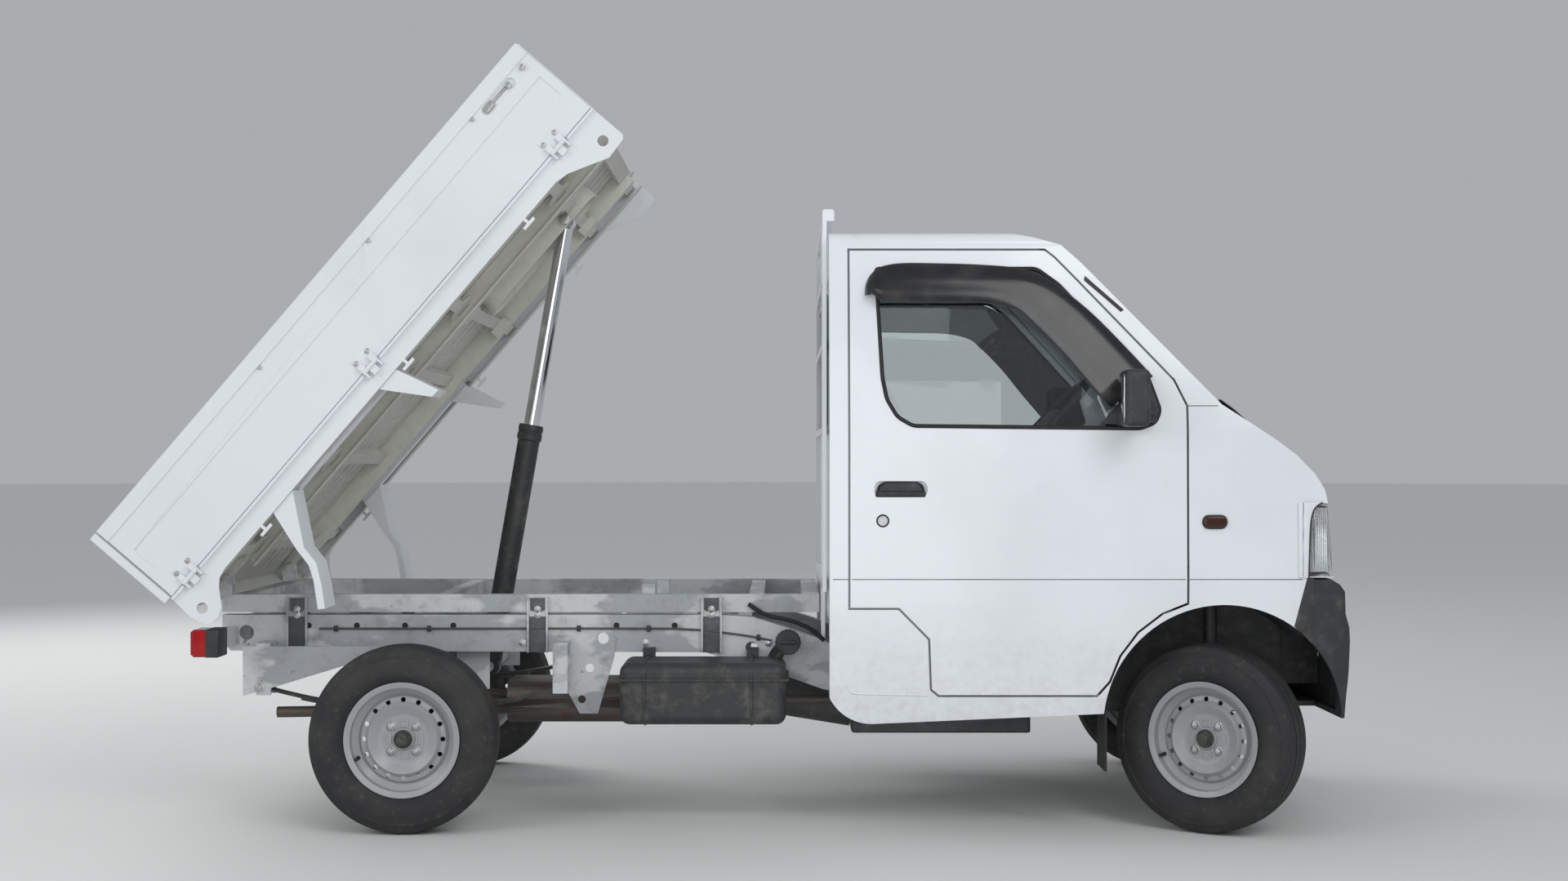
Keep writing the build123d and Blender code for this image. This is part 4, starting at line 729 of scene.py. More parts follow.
visor = {
    "edge": ((0.401, 1.546), (0.404, 1.577), (0.417, 1.604), (0.438, 1.622), (0.463, 1.632), (0.513, 1.638),
             (0.620, 1.637), (0.736, 1.633), (0.848, 1.622), (0.923, 1.592), (1.035, 1.505), (1.138, 1.400),
             (1.218, 1.311)),
    "lip": ((0.411, 1.545), (0.416, 1.549), (0.425, 1.545), (0.438, 1.534), (0.456, 1.528), (0.510, 1.527),
            (0.610, 1.525), (0.740, 1.522), (0.828, 1.503), (0.878, 1.462), (0.947, 1.392), (1.016, 1.309),
            (1.092, 1.222)),
    "rise": ((0.0, 0.004), (0.10, 0.013), (0.30, 0.021), (0.65, 0.027), (0.94, 0.029), (1.0, 0.033)),
    "thickness": 0.0026, "rim": 0.0022,
}
windowTrim = {
    "outline": ((0.430, 1.624), (0.448, 1.308), (0.460, 1.247), (0.490, 1.196), (0.534, 1.170), (1.183, 1.163),
                (1.225, 1.180), (1.239, 1.215), (1.207, 1.308), (0.953, 1.580), (0.893, 1.624)),
    "seal": 0.0062, "corner": 0.012, "armEnd": 1.2150,
    "sail": ((1.066, 1.174), (1.190, 1.174), (1.218, 1.182), (1.235, 1.203), (1.236, 1.220), (1.208, 1.304),
             (1.186, 1.330), (1.122, 1.330), (1.122, 1.236)),
    "mirrorFoot": ((1.168, 0.731, 1.1785), (1.2225, 0.7685, 1.2155)),
    "mirrorFace": ((0.779, 1.180), (0.871, 1.312)), "mirrorFaceX": 1.1135,
}
handle = {
    "outline": ((0.427, 0.969), (0.570, 0.969), (0.562, 1.000), (0.543, 1.011), (0.457, 1.011), (0.436, 1.000)),
    "flap": ((0.436, 0.984), (0.562, 0.984), (0.557, 0.999), (0.541, 1.009), (0.459, 1.009), (0.441, 0.999)),
    "lock": (0.448, 0.900), "lockRadius": 0.0155,
}
doorCard = {
    "outline": ((0.395, 0.700), (0.395, 1.125), (1.235, 1.118), (1.235, 0.745), (1.100, 0.700)), "depth": 0.0405,
    "pocket": ((0.480, 0.720), (1.090, 0.860)), "armrest": ((0.560, 0.945), (0.960, 0.985)),
    "winder": (0.820, 0.880), "crank": (-0.085, -0.035), "pull": (0.930, 1.040), "pullSize": (0.085, 0.030),
}


def throughPoints(points, steps):
    # a smooth curve through its points
    ends = [Vector(point) for point in (points[0],) + tuple(points) + (points[-1],)]
    curve = []
    for before, start, end, after in zip(ends, ends[1:], ends[2:], ends[3:]):
        for step in range(steps):
            t = step / steps
            curve.append(0.5 * (2 * start + t * (end - before) + t * t * (2 * before - 5 * start + 4 * end - after)
                                + t ** 3 * (3 * start - before - 3 * end + after)))
    return curve + [ends[-1]]


def makeVisor(name, side):
    rows = []
    edgeLine, lipLine = (throughPoints(visor[key], 4) for key in ("edge", "lip"))
    for part, out in visor["rise"]:
        row = [tuple(edge.lerp(lip, part)) for edge, lip in zip(edgeLine, lipLine)]
        rows.append([onSide(side, x, z, out) for x, z in row])
    sheet = bentSheet("visor." + name, rows, visor["thickness"])
    finishPiece(sheet, smokedGlass, "door_" + name, 50)
    edges = [wire("visorEdge", rows[0], visor["rim"]), wire("visorLip", rows[-1], visor["rim"] * 0.7)]
    finishJoined("visorRim." + name, edges, blackPlastic, "door_" + name, 50)


def makeWindowTrim(name, side):
    ring = [onSide(side, x, z, -0.001) for x, z in windowTrim["outline"]]
    seal = wire("windowSeal." + name, ring, windowTrim["seal"], True, windowTrim["corner"])
    finishPiece(seal, sealRubber, "door_" + name, 50)
    sail = sidePanel("sail." + name, side, windowTrim["sail"], -0.010, 0.006, 0.004, 3)
    finishPiece(sail, blackPlastic, "door_" + name)
    head = skins["mirror_" + name]
    editAll(head)
    bpy.ops.mesh.bisect(plane_co=(windowTrim["armEnd"], 0, 0), plane_no=(1, 0, 0), use_fill=True, clear_outer=True)
    objectMode()
    foot = sideBlock("mirrorFoot." + name, side, *windowTrim["mirrorFoot"], 0.010, 4)
    finishPiece(foot, blackPlastic, "door_" + name)
    face = rounded(*windowTrim["mirrorFace"], 0.014)
    glass = panel("mirrorFace." + name, [(windowTrim["mirrorFaceX"], side * y, z) for y, z in face], (-0.0028, 0, 0),
                  0.001)
    finishPiece(glass, mirrorGlass, "door_" + name)


def makeHandle(name, side):
    cup = sidePanel("cup", side, handle["outline"], -0.0115, -0.0035, 0.001)
    rim = wire("rim", [onSide(side, x, z, -0.0005) for x, z in handle["outline"]], 0.0022, True, 0.006)
    flap = sidePanel("flap", side, handle["flap"], -0.006, 0.0025, 0.0025, 3)
    finishJoined("handle." + name, [cup, rim, flap], blackPlastic, "door_" + name)
    x, z = handle["lock"]
    r = handle["lockRadius"]
    barrel = turned("lock", [(0.0, -0.004), (r, -0.004), (r, 0.002), (r - 0.002, 0.0036), (r - 0.0045, 0.0036),
                             (r - 0.005, 0.002), (0.0, 0.002)], 32, onSide(side, x, z), (0, side, 0), False)
    slot = sidePanel("slot", side, rounded((x - 0.0012, z - 0.0055), (x + 0.0012, z + 0.0055), 0.001, 2), 0.001,
                     0.0026, 0)
    finishJoined("lock." + name, [barrel, slot], boltSteel, "door_" + name)
    profile = [(r - 0.0008, -0.003), (r + 0.0035, -0.003), (r + 0.0028, 0.0016), (r - 0.0008, 0.0030)]
    collar = turned("lockRing." + name, profile, 32, onSide(side, x, z), (0, side, 0))
    finishPiece(collar, sealRubber, "door_" + name, 50)


def makeDoorCard(name, side):
    depth = doorCard["depth"]
    card = sidePanel("card", side, doorCard["outline"], -depth - 0.004, -depth, 0.0015)
    pocket = sidePanel("pocket", side, rounded(*doorCard["pocket"], 0.02), -depth - 0.020, -depth - 0.003, 0.006)
    rest = sidePanel("rest", side, rounded(*doorCard["armrest"], 0.016), -depth - 0.045, -depth - 0.003, 0.012, 4)
    finishJoined("doorCard." + name, [card, pocket, rest], greyPlastic, "door_" + name)
    x, z = doorCard["winder"]
    inner = onSide(side, x, z, -depth - 0.004)
    along, up = doorCard["crank"]
    inwards = lambda reach, x=0, z=0: inner + Vector((x, -side * reach, z))
    boss = bar("boss", inner, inwards(0.022), 0.020, 24, 0.003)
    crank = bar("crank", inwards(0.018), inwards(0.026, along, up), 0.007, 12, 0.002)
    knob = bar("knob", inwards(0.022, along, up), inwards(0.052, along, up), 0.012, 16, 0.003)
    (x, z), (length, rise) = doorCard["pull"], doorCard["pullSize"]
    lever = sidePanel("lever", side, rounded((x, z), (x + length, z + rise), 0.008), -depth - 0.014, -depth - 0.003,
                      0.003)
    finishJoined("winder." + name, [boss, crank, knob, lever], blackPlastic, "door_" + name)


for name, side in sides:
    makeVisor(name, side)
    makeWindowTrim(name, side)
    makeHandle(name, side)
    makeDoorCard(name, side)
print("door trim made")


# Cab trim that stays with the chassis: side markers, front corners, creases, pillar slots, cowl and wipers

cabTrim = {
    "corner": ((1.6535, 0.7370), (1.6740, 0.7370), (1.6740, 0.5450), (1.6460, 0.5740), (1.6180, 0.5990)),
    "splash": ((1.560, 0.640), (1.776, 0.640), (1.776, 0.400), (1.600, 0.400), (1.560, 0.480)),
    "splashY": (0.386, 0.391),
    "lampEdge": ((1.6570, 0.7380), (1.6590, 0.800), (1.6610, 0.870), (1.6655, 0.912), (1.6760, 0.938),
                 (1.6960, 0.9525)),
    "lampEdgeRear": ((1.6390, 0.9530), (1.6390, 0.7380)), "lampEdgeY": (0.7402, 0.7425), "lampSeamY": 0.7422,
    "lampFiller": ((1.6290, 0.7270, 0.7385), (1.6440, 0.7425, 0.9525)),
    "markerLow": (1.3595, 0.8805), "markerHigh": (1.4245, 0.9135), "markerRound": 0.0155, "markerGrow": 0.004,
    "slot": ((1.032, 1.603), (1.142, 1.504), (1.133, 1.498), (1.029, 1.590)),
    "creaseZ": 0.7335, "creaseRadius": 0.0020, "cowlSeamZ": 1.2275,
    "sillBead": ((0.345, 0.432), (0.352, 0.412), (0.372, 0.406), (0.575, 0.402)),
    "cowlLow": 1.176, "cowlHigh": 1.238, "cowlHalfWidth": 0.600, "cowlSlots": 22,
    "wipers": ((-0.08, -0.56), (0.40, -0.02)), "wiperZ": 1.206, "bladeZ": 1.252, "bladeLength": 0.43,
    "plateHalf": 0.165, "plateLow": 0.520, "plateHigh": 0.685, "plateX": 1.8235,
}


def makeMarker(name, side):
    low, high, corner, grow = cabTrim["markerLow"], cabTrim["markerHigh"], cabTrim["markerRound"], cabTrim["markerGrow"]
    outline = rounded((low[0] - grow, low[1] - grow), (high[0] + grow, high[1] + grow), corner + grow)
    finishPiece(sidePanel("markerBase." + name, side, outline, -0.004, 0.003, 0.0012), blackPlastic)
    # the lens is amber darkened to brown: painted shade
    lens = sidePanel("markerLens." + name, side, rounded(low, high, corner), 0.001, 0.014, 0.006, 4)
    finishPiece(lens, markerLensPaintedShade)


def makeFrontCorner(name, side):
    # the dark corner under the lamp, the splash plate behind the bumper, and the painted edge over the lamp's rear end
    corner = sidePanel("corner", side, cabTrim["corner"], -0.004, 0.0014, 0.0006)
    low, high = sorted(side * y for y in cabTrim["splashY"])
    plate = panel("plate", [(x, low, z) for x, z in cabTrim["splash"]], (0, high - low, 0), 0.001)
    edge = [tuple(point) for point in throughPoints(cabTrim["lampEdge"], 4)]
    seam = wire("seam", [(x, side * cabTrim["lampSeamY"], z) for x, z in edge], 0.0024)
    finishJoined("frontCorner." + name, [corner, plate, seam], chassisBlack)
    near, far = (side * y for y in cabTrim["lampEdgeY"])
    outline = edge + list(cabTrim["lampEdgeRear"])
    cover = panel("cover", [(x, near, z) for x, z in outline], (0, far - near, 0), 0.0006)
    filler = sideBlock("filler", side, *cabTrim["lampFiller"], 0.0012)
    finishJoined("lampEdge." + name, [filler, cover], cabPaint, angle=50)


def makeCreases(name, side):
    # dark grey lines just under the skin, which are painted shade in the panel creases, and the bead at the sill's rear
    # end
    crease = lambda label, z, stations: wire(
        label, [onSide(side, x, z, -0.0012) for x in stations], cabTrim["creaseRadius"])
    z = cabTrim["creaseZ"]
    lines = [crease("rear", z, (0.306, 0.33, 0.353)), crease("front", z, (1.316, 1.45, 1.64)),
             crease("cowl", cabTrim["cowlSeamZ"], (1.316, 1.35, 1.404))]
    finishJoined("crease." + name, lines, creasePaintedShade, angle=60)
    finishPiece(crease("doorCrease." + name, z, (0.360, 0.8, 1.309)), creasePaintedShade, "door_" + name, 60)
    bead = wire("sillBead." + name, [onSide(side, x, z, -0.001) for x, z in cabTrim["sillBead"]], 0.0032, False, 0.008)
    finishPiece(bead, cabPaint, angle=60)


for name, side in sides:
    makeMarker(name, side)
    makeCreases(name, side)
    makeFrontCorner(name, side)
    slot = sidePanel("pillarSlot." + name, side, cabTrim["slot"], -0.002, 0.002, 0.0008)
    finishPiece(slot, blackPlastic)


def makeCowl():
    low, high, half = cabTrim["cowlLow"], cabTrim["cowlHigh"], cabTrim["cowlHalfWidth"]
    columns = [half * (2 * step / 24 - 1) for step in range(25)]
    rows = [[onNose(y, z, out) for y in columns] for z, out in
            ((low, 0.001), (low + 0.004, 0.010), ((low + high) / 2, 0.017), (high - 0.003, 0.019), (high, 0.004))]
    strip = bentSheet("cowlStrip", rows, 0.003)
    bars = []
    for step in range(cabTrim["cowlSlots"]):
        y = half * 0.9 * (2 * step / (cabTrim["cowlSlots"] - 1) - 1)
        bars.append(wire("rib", [onNose(y, z, out) for z, out in
                                 ((low + 0.010, 0.015), ((low + high) / 2, 0.0195), (high - 0.010, 0.0205))], 0.0034))
    finishJoined("cowl", [strip] + bars, blackPlastic, angle=45)


def makeWiper(number, pivotY, tipY):
    z, bladeZ = cabTrim["wiperZ"], cabTrim["bladeZ"]
    pivot = turned("pivot", [(0.0, 0.0), (0.017, 0.0), (0.016, 0.016), (0.010, 0.024), (0.0, 0.025)], 24,
                   onNose(pivotY, z, 0.008), (0.72, 0, 0.69), False)
    middle = (pivotY + tipY) / 2
    arm = wire("arm", [onNose(pivotY, z, 0.028), onNose(pivotY + (tipY - pivotY) * 0.3, z + 0.015, 0.036),
                       onNose(middle, bladeZ - 0.008, 0.034), onNose(middle + (tipY - pivotY) * 0.08, bladeZ, 0.026)],
               0.0046)
    half = cabTrim["bladeLength"] / 2
    frameY = [middle + half * part for part in (-1, -0.5, 0, 0.5, 1)]
    spine = wire("spine", [onNose(y, bladeZ, out) for y, out in zip(frameY, (0.010, 0.020, 0.024, 0.020, 0.010))],
                 0.0034)
    bladeY = frameY[::2]
    outline = [onNose(y, bladeZ, 0.002) for y in bladeY] + [onNose(y, bladeZ, 0.012) for y in reversed(bladeY)]
    blade = panel("blade", outline, (0, 0, 0.004), 0.0008)
    finishJoined("wiper." + number, [pivot, arm, spine, blade], blackPlastic, angle=45)


makeCowl()
for number, (pivotY, tipY) in zip(("one", "two"), cabTrim["wipers"]):
    makeWiper(number, pivotY, tipY)


# Headlamps: the solid becomes a thin lens over a dark bucket with its reflector, bulb and side indicator

lamp = {
    "rear": 1.650, "low": (0.478, 0.750), "high": (0.733, 0.942), "lens": 0.003,
    "bowl": (0.577, 0.846), "bowlRadius": 0.082, "bowlFront": 1.722, "bowlDepth": 0.062,
    "flutes": (0.670, 0.0055, 12), "outerWall": 0.7285, "outerFlutes": (0.0052, 11), "turnBulb": (0.052, 0.697, 0.040),
}


def thinLens(piece, keep, thickness):
    # keeps the outer faces of a solid lens and gives them a thickness
    for polygon in piece.data.polygons:
        polygon.select = not keep(polygon.normal, polygon.center)
    editMode(piece)
    bpy.ops.mesh.select_mode(type="FACE")
    bpy.ops.mesh.delete(type="FACE")
    bpy.ops.mesh.select_mode(type="VERT")
    objectMode()
    wall = piece.modifiers.new("wall", "SOLIDIFY")
    wall.thickness = thickness
    wall.offset = -1
    applyModifiers(piece)


def makeLampInside(name, side):
    (lowY, lowZ), (highY, highZ) = lamp["low"], lamp["high"]
    rear = lamp["rear"]
    bucket = sideBlock("bucket", side, (rear - 0.004, lowY, lowZ), (rear, highY, highZ), 0)
    lips = [panel("lip", [(rear, side * y, z) for y, z in edge], (0.060, 0, 0), 0) for edge in (
        ((lowY, lowZ), (highY, lowZ), (highY, lowZ + 0.003), (lowY, lowZ + 0.003)),
        ((lowY, highZ - 0.003), (highY, highZ - 0.003), (highY, highZ), (lowY, highZ)),
        ((lowY, lowZ), (lowY + 0.003, lowZ), (lowY + 0.003, highZ), (lowY, highZ)))]
    finishJoined("lampBucket." + name, [bucket] + lips, blackPlastic)
    (y, z), r, front, deep = (lamp[key] for key in ("bowl", "bowlRadius", "bowlFront", "bowlDepth"))
    curve = [(r * (0.18 + 0.82 * step / 10), -deep * (1 - (step / 10) ** 2)) for step in range(11)]
    shell = curve + [(radius + 0.002, along - 0.001) for radius, along in reversed(curve)]
    bowl = turned("bowl", shell, 48, (front, side * y, z), (1, 0, 0))
    start, pitch, count = lamp["flutes"]
    places = [(front - 0.030 - step * 0.0016, start + step * pitch, 0.0034) for step in range(count)]
    pitch, count = lamp["outerFlutes"]
    places += [(rear + 0.008 + pitch * step, lamp["outerWall"] + 0.0005, 0.0030) for step in range(count)]
    outline = ((rear + 0.002, lowZ + 0.004), (front - 0.006, lowZ + 0.004), (front - 0.014, highZ - 0.004),
               (rear + 0.002, highZ - 0.004))
    wall = panel("wall", [(x, side * lamp["outerWall"], z) for x, z in outline], (0, -side * 0.002, 0), 0)
    flutes = [bar("flute", (x, side * at, lowZ + 0.006), (x, side * at, highZ - 0.006), radius, 8)
              for x, at, radius in places]
    finishJoined("reflector." + name, [bowl, wall] + flutes, reflectorSilver, angle=40)
    bulb = turned("bulb." + name, [(0.0, 0.030), (0.006, 0.029), (0.011, 0.022), (0.011, -0.006), (0.016, -0.010),
                                   (0.016, -0.030), (0.0, -0.030)], 24, (front - deep + 0.018, side * y, z), (1, 0, 0),
                  False)
    finishPiece(bulb, lensClear, angle=40)
    back, across, up = lamp["turnBulb"]
    turnLamp = turned("turnLamp." + name, [(0.0, 0.0), (0.013, 0.0), (0.014, 0.018), (0.010, 0.030), (0.0, 0.034)], 24,
                      (front - back, side * across, lowZ + up), (1, 0, 0), False)
    finishPiece(turnLamp, lensAmber)


thinLens(skins["headlamps"], lambda normal, centre: normal.x > 0.25 or (abs(normal.y) > 0.6 and abs(centre.y) > 0.66),
         lamp["lens"])
smooth(skins["headlamps"], 50)
for name, side in sides:
    makeLampInside(name, side)
print("cab trim made")


# Wheel hardware: nuts with their studs, the hub's cap and the valve, made once and copied to each wheel

wheelHardware = {
    "nutRing": 0.050, "nutCount": 4, "nutRadius": 0.0105, "nutSeat": 0.0195, "nutOut": 0.033, "studOut": 0.038,
    "capRadius": 0.0235, "capOut": 0.050, "valveRing": 0.1415, "valveTurn": 203, "valveOut": 0.052,
}


def makeNuts():
    size = wheelHardware
    pieces = []
    for step in range(size["nutCount"]):
        turn = tau * (step + 0.5) / size["nutCount"]
        x, z = size["nutRing"] * cos(turn), size["nutRing"] * sin(turn)
        seat = size["nutSeat"]
        pieces.append(bar("flange", (x, -seat, z), (x, -seat - 0.003, z), size["nutRadius"] + 0.0022, 24, 0.001))
        pieces.append(bar("nut", (x, -seat, z), (x, -size["nutOut"], z), size["nutRadius"], 6, 0.0016))
        pieces.append(bar("stud", (x, -seat, z), (x, -size["studOut"], z), 0.0058, 16, 0.0014))
    return joinPieces("nutMaster", pieces)


def makeHubCap():
    r, out = wheelHardware["capRadius"], wheelHardware["capOut"]
    profile = [(0.0, -0.020), (r, -0.020), (r, -0.034), (r - 0.0015, -out + 0.006), (r - 0.006, -out + 0.001),
               (0.010, -out), (0.0, -out)]
    rim = [(r - 0.001, -0.030), (r + 0.0035, -0.030), (r + 0.0035, -0.0345), (r - 0.001, -0.0355)]
    return joinPieces("capMaster", [turned("dome", profile, 40, closed=False), turned("rim", rim, 40)])


def makeValve():
    turn = radians(wheelHardware["valveTurn"])
    r, out = wheelHardware["valveRing"], wheelHardware["valveOut"]
    x, z = r * cos(turn), r * sin(turn)
    stem = bar("stem", (x, -0.020, z), (x, -out + 0.010, z), 0.0062, 16, 0.001, 0.0042)
    cap = bar("cap", (x, -out + 0.011, z), (x, -out, z), 0.0046, 12, 0.001)
    return joinPieces("valveMaster", [stem, cap])


wheelMasters = ((makeNuts(), "wheelNuts", boltSteel), (makeHubCap(), "hubCap", axleIron),
                (makeValve(), "valve", sealRubber))
for name in wheels:
    for master, kind, material in wheelMasters:
        twin = copyPiece(master, kind + "." + name)
        moveBy(twin, wheelPlace(name))
        finishPiece(twin, material, "wheel_" + name, 40)
for master, kind, material in wheelMasters:
    bpy.data.objects.remove(master)
print("wheel hardware made")


# Frame hardware: grommets, clamp bolts, filler cap, pipes, U-bolts, dampers, lamps and plate

frameTrim = {
    "rail": 0.400, "holeZ": 0.5748, "holes": (-1.263, -1.118, -0.973, -0.828, -0.337, -0.162), "holeRadius": 0.0065,
    "clamps": (-1.297, -0.574, -0.051), "clampBolts": (0.6240, 0.6070),
    "recess": (0.0225, 0.6205, 0.6575, 0.0066), "channel": (0.0255, 0.4940, 0.6025, 0.0064),
    "wall": (0.003, 0.494, 0.660, 0.013),
    "railBolts": (-1.45, -0.62, -0.25, 0.12), "railBoltZ": 0.522, "rearBolt": (-1.389, 0.488, 0.398),
    "brakePipe": ((-1.230, 0.5660), (-0.337, 0.5660), (-0.162, 0.5660), (-0.060, 0.5600), (0.060, 0.5440),
                  (0.130, 0.5300)),
    "pipeClips": ((-1.180, 0.566), (-0.900, 0.566), (-0.450, 0.566), (-0.240, 0.566), (0.090, 0.539)),
    "harness": ((0.060, 0.640), (0.1105, 0.606), (0.190, 0.590), (0.250, 0.565), (0.287, 0.530)),
    "filler": (0.179, 0.530), "fillerOut": 0.468, "fillerRadius": 0.036,
    "axle": -0.927, "springNear": 0.424, "springFar": 0.486, "uBolts": (-0.046, 0.046),
    "damperY": 0.318, "damperFoot": (-0.055, 0.290), "damperHead": (-0.170, 0.560),
    "tankStraps": (-0.237, 0.073),
    "strapLine": ((0.404, 0.486), (0.610, 0.4865), (0.6415, 0.455), (0.6415, 0.335), (0.610, 0.3035), (0.430, 0.3035),
                  (0.403, 0.335)),
    "plateLow": 0.352, "plateHigh": 0.517, "plateHalf": 0.165, "plateX": -1.522,
}


def hexBolt(name, start, out, radius=0.0085, height=0.006):
    # a bolt head on its washer, pointing along out
    start, out = Vector(start), Vector(out)
    washer = bar("washer", start, start + 0.0018 * out, radius * 1.45, 24, 0.0005)
    head = bar("head", start, start + height * out, radius, 6, 0.0012)
    return joinPieces(name, [washer, head])


def makeFrameSide(name, side):
    size = frameTrim
    face = side * size["rail"]
    out = Vector((0, side, 0))
    bolts = []
    for station in size["clamps"]:
        for z in size["clampBolts"]:
            bolts.append(hexBolt("bolt", (station, face + side * 0.006, z), out, 0.0072, 0.0055))
    for station in size["railBolts"]:
        bolts.append(hexBolt("bolt", (station, face, size["railBoltZ"]), out, 0.0078))
    x, y, z = size["rearBolt"]
    bolts.append(hexBolt("bolt", (x, side * y, z), out, 0.0110, 0.008))
    finishJoined("frameBolts." + name, bolts, boltSteel, angle=40)
    plates, walls = [], []
    raised = lambda station, half, low, high, rise: block(
        "raised", (station - half, face, low), (station + half, face + side * rise, high), 0.001)
    for station in size["clamps"]:
        plates += [raised(station, *size["recess"]), raised(station, *size["channel"])]
        edge = size["channel"][0] + size["wall"][0]
        walls += [raised(station + shift, *size["wall"]) for shift in (-edge, edge)]
    # the plates in the clamp recesses are dark grey: painted shade of the recesses
    finishJoined("clampRecess." + name, plates, clampPaintedShade)
    finishJoined("clampWalls." + name, walls, framePaint)
    rings = []
    r = size["holeRadius"]
    profile = [(r - 0.0016, -0.002), (r + 0.0026, -0.002), (r + 0.0022, 0.0016), (r, 0.002), (r - 0.0016, 0.0008)]
    for x in size["holes"]:
        rings.append(turned("ring", profile, 20, (x, face, size["holeZ"]), (0, side, 0)))
        rings.append(bar("dark", (x, face - side * 0.001, size["holeZ"]), (x, face + side * 0.0004, size["holeZ"]),
                         r - 0.001, 16))
    finishJoined("grommets." + name, rings, sealRubber, angle=40)
    pipe = wire("brakePipe." + name, [(x, face + side * 0.0045, z) for x, z in size["brakePipe"]], 0.0030, False, 0.020)
    finishPiece(pipe, pipeSteel, angle=60)
    clips = [block("clip", (x - 0.006, face, z - 0.009), (x + 0.006, face + side * 0.0095, z + 0.009), 0.002)
             for x, z in size["pipeClips"]]
    finishJoined("pipeClips." + name, clips, blackPlastic, angle=40)


def makeAxleHardware(name, side):
    size = frameTrim
    x, near, far = size["axle"], side * size["springNear"], side * size["springFar"]
    pieces = []
    for at in (x + shift for shift in size["uBolts"]):
        line = ((at, near, 0.212), (at, near, 0.344), (at, far, 0.344), (at, far, 0.212))
        pieces.append(wire("uBolt", line, 0.0062, False, 0.012))
        for y in (near, far):
            pieces.append(bar("nut", (at, y, 0.2185), (at, y, 0.2285), 0.0115, 6, 0.001))
    pieces.append(block("plate", (x - 0.064, near - side * 0.014, 0.2285), (x + 0.064, far + side * 0.014, 0.2365),
                        0.002))
    finishJoined("springClamp." + name, pieces, chassisBlack, angle=40)
    bottom, top = (Vector((x + along, side * size["damperY"], up))
                   for along, up in (size["damperFoot"], size["damperHead"]))
    run = (top - bottom).normalized()
    halfEye = Vector((0, 0.020, 0))
    pieces = [bar("body", bottom + 0.02 * run, bottom + 0.17 * run, 0.021, 32, 0.003),
              bar("cover", bottom + 0.13 * run, top - 0.015 * run, 0.0255, 32, 0.003),
              bar("lowEye", bottom - halfEye, bottom + halfEye, 0.020, 24, 0.002),
              bar("highEye", top - halfEye, top + halfEye, 0.018, 24, 0.002),
              bar("highBolt", top, Vector((top.x, side * 0.352, top.z)), 0.008, 16),
              sideBlock("foot", side, (x - 0.075, 0.300, 0.262), (x - 0.030, 0.336, 0.285))]
    finishJoined("damper." + name, pieces, chassisBlack, angle=40)
    stop = sideBlock("bumpStop." + name, side, (x - 0.030, 0.358, 0.452), (x + 0.030, 0.396, 0.4995), 0.010, 4)
    finishPiece(stop, sealRubber)


tailLamp = {
    "house": ((-1.4935, 0.5955, 0.5060), (-1.4530, 0.6910, 0.5870)), "paneX": -1.5285, "low": 0.512, "high": 0.581,
    "panes": (("reverse", lensClear, 0.601, 0.626), ("turn", lensAmber, 0.629, 0.657), ("stop", lensRed, 0.660, 0.686)),
    "ribs": (0.522, 0.532, 0.542, 0.552, 0.562, 0.571), "ribX": (-1.5360, -1.5345), "ribHeight": 0.0025,
}


def makeTailLamp(name, side):
    # a black housing, and three ribbed panes on its rear face
    finishPiece(sideBlock("lampHouse." + name, side, *tailLamp["house"], 0.005, 3), blackPlastic)
    rear, front = tailLamp["ribX"]
    for kind, material, near, far in tailLamp["panes"]:
        outline = rounded((near, tailLamp["low"]), (far, tailLamp["high"]), 0.004)
        pane = panel("pane", [(tailLamp["paneX"], side * y, z) for y, z in outline], (-0.0065, 0, 0), 0.0025, 3)
        ribs = [sideBlock("rib", side, (rear, near + 0.003, z), (front, far - 0.003, z + tailLamp["ribHeight"]), 0)
                for z in tailLamp["ribs"]]
        finishJoined(kind + "Pane." + name, ribs + [pane], material)


for name, side in sides:
    makeFrameSide(name, side)
    makeAxleHardware(name, side)
    makeTailLamp(name, side)


def makeFuelCap():
    size = frameTrim
    (x, z), r, out = size["filler"], size["fillerRadius"], -size["fillerOut"]
    profile = [(0.0, 0.0), (r + 0.0015, 0.0), (r + 0.0015, 0.010), (r - 0.003, 0.014), (0.0, 0.014)]
    rim = turned("rim", profile, 36, (x, out + 0.012, z), (0, -1, 0), False)
    places = [(x + (r + 0.001) * cos(tau * step / 18), z + (r + 0.001) * sin(tau * step / 18)) for step in range(18)]
    grips = [bar("grip", (at, out + 0.011, up), (at, out + 0.001, up), 0.0024, 8) for at, up in places]
    wing = block("wing", (x - 0.026, out - 0.010, z - 0.0055), (x + 0.026, out, z + 0.0055), 0.004, 3)
    finishJoined("fuelCap", [rim, wing] + grips, blackPlastic, angle=40)
    hoseLine = ((x - 0.046, -0.440, 0.440), (x - 0.046, -0.440, 0.480), (x - 0.020, -0.440, 0.515), (x, -0.450, 0.530))
    hose = wire("fillerHose", hoseLine, 0.0185, False, 0.02)
    band = turned("hoseBand", [(0.0180, -0.005), (0.0205, -0.005), (0.0205, 0.005), (0.0180, 0.005)], 28,
                  (x - 0.046, -0.440, 0.462), (0, 0, 1))
    finishPiece(hose, sealRubber, angle=50)
    finishPiece(band, boltSteel, angle=40)
    straps = [wire("strap", [(x, -y, z) for y, z in size["strapLine"]], 0.0038, False, 0.012)
              for x in size["tankStraps"]]
    finishJoined("tankStraps", straps, chassisBlack, angle=50)
    plug = hexBolt("drainPlug", (-0.06, -0.520, 0.305), (0, 0, -1), 0.011, 0.007)
    finishPiece(plug, boltSteel, angle=40)


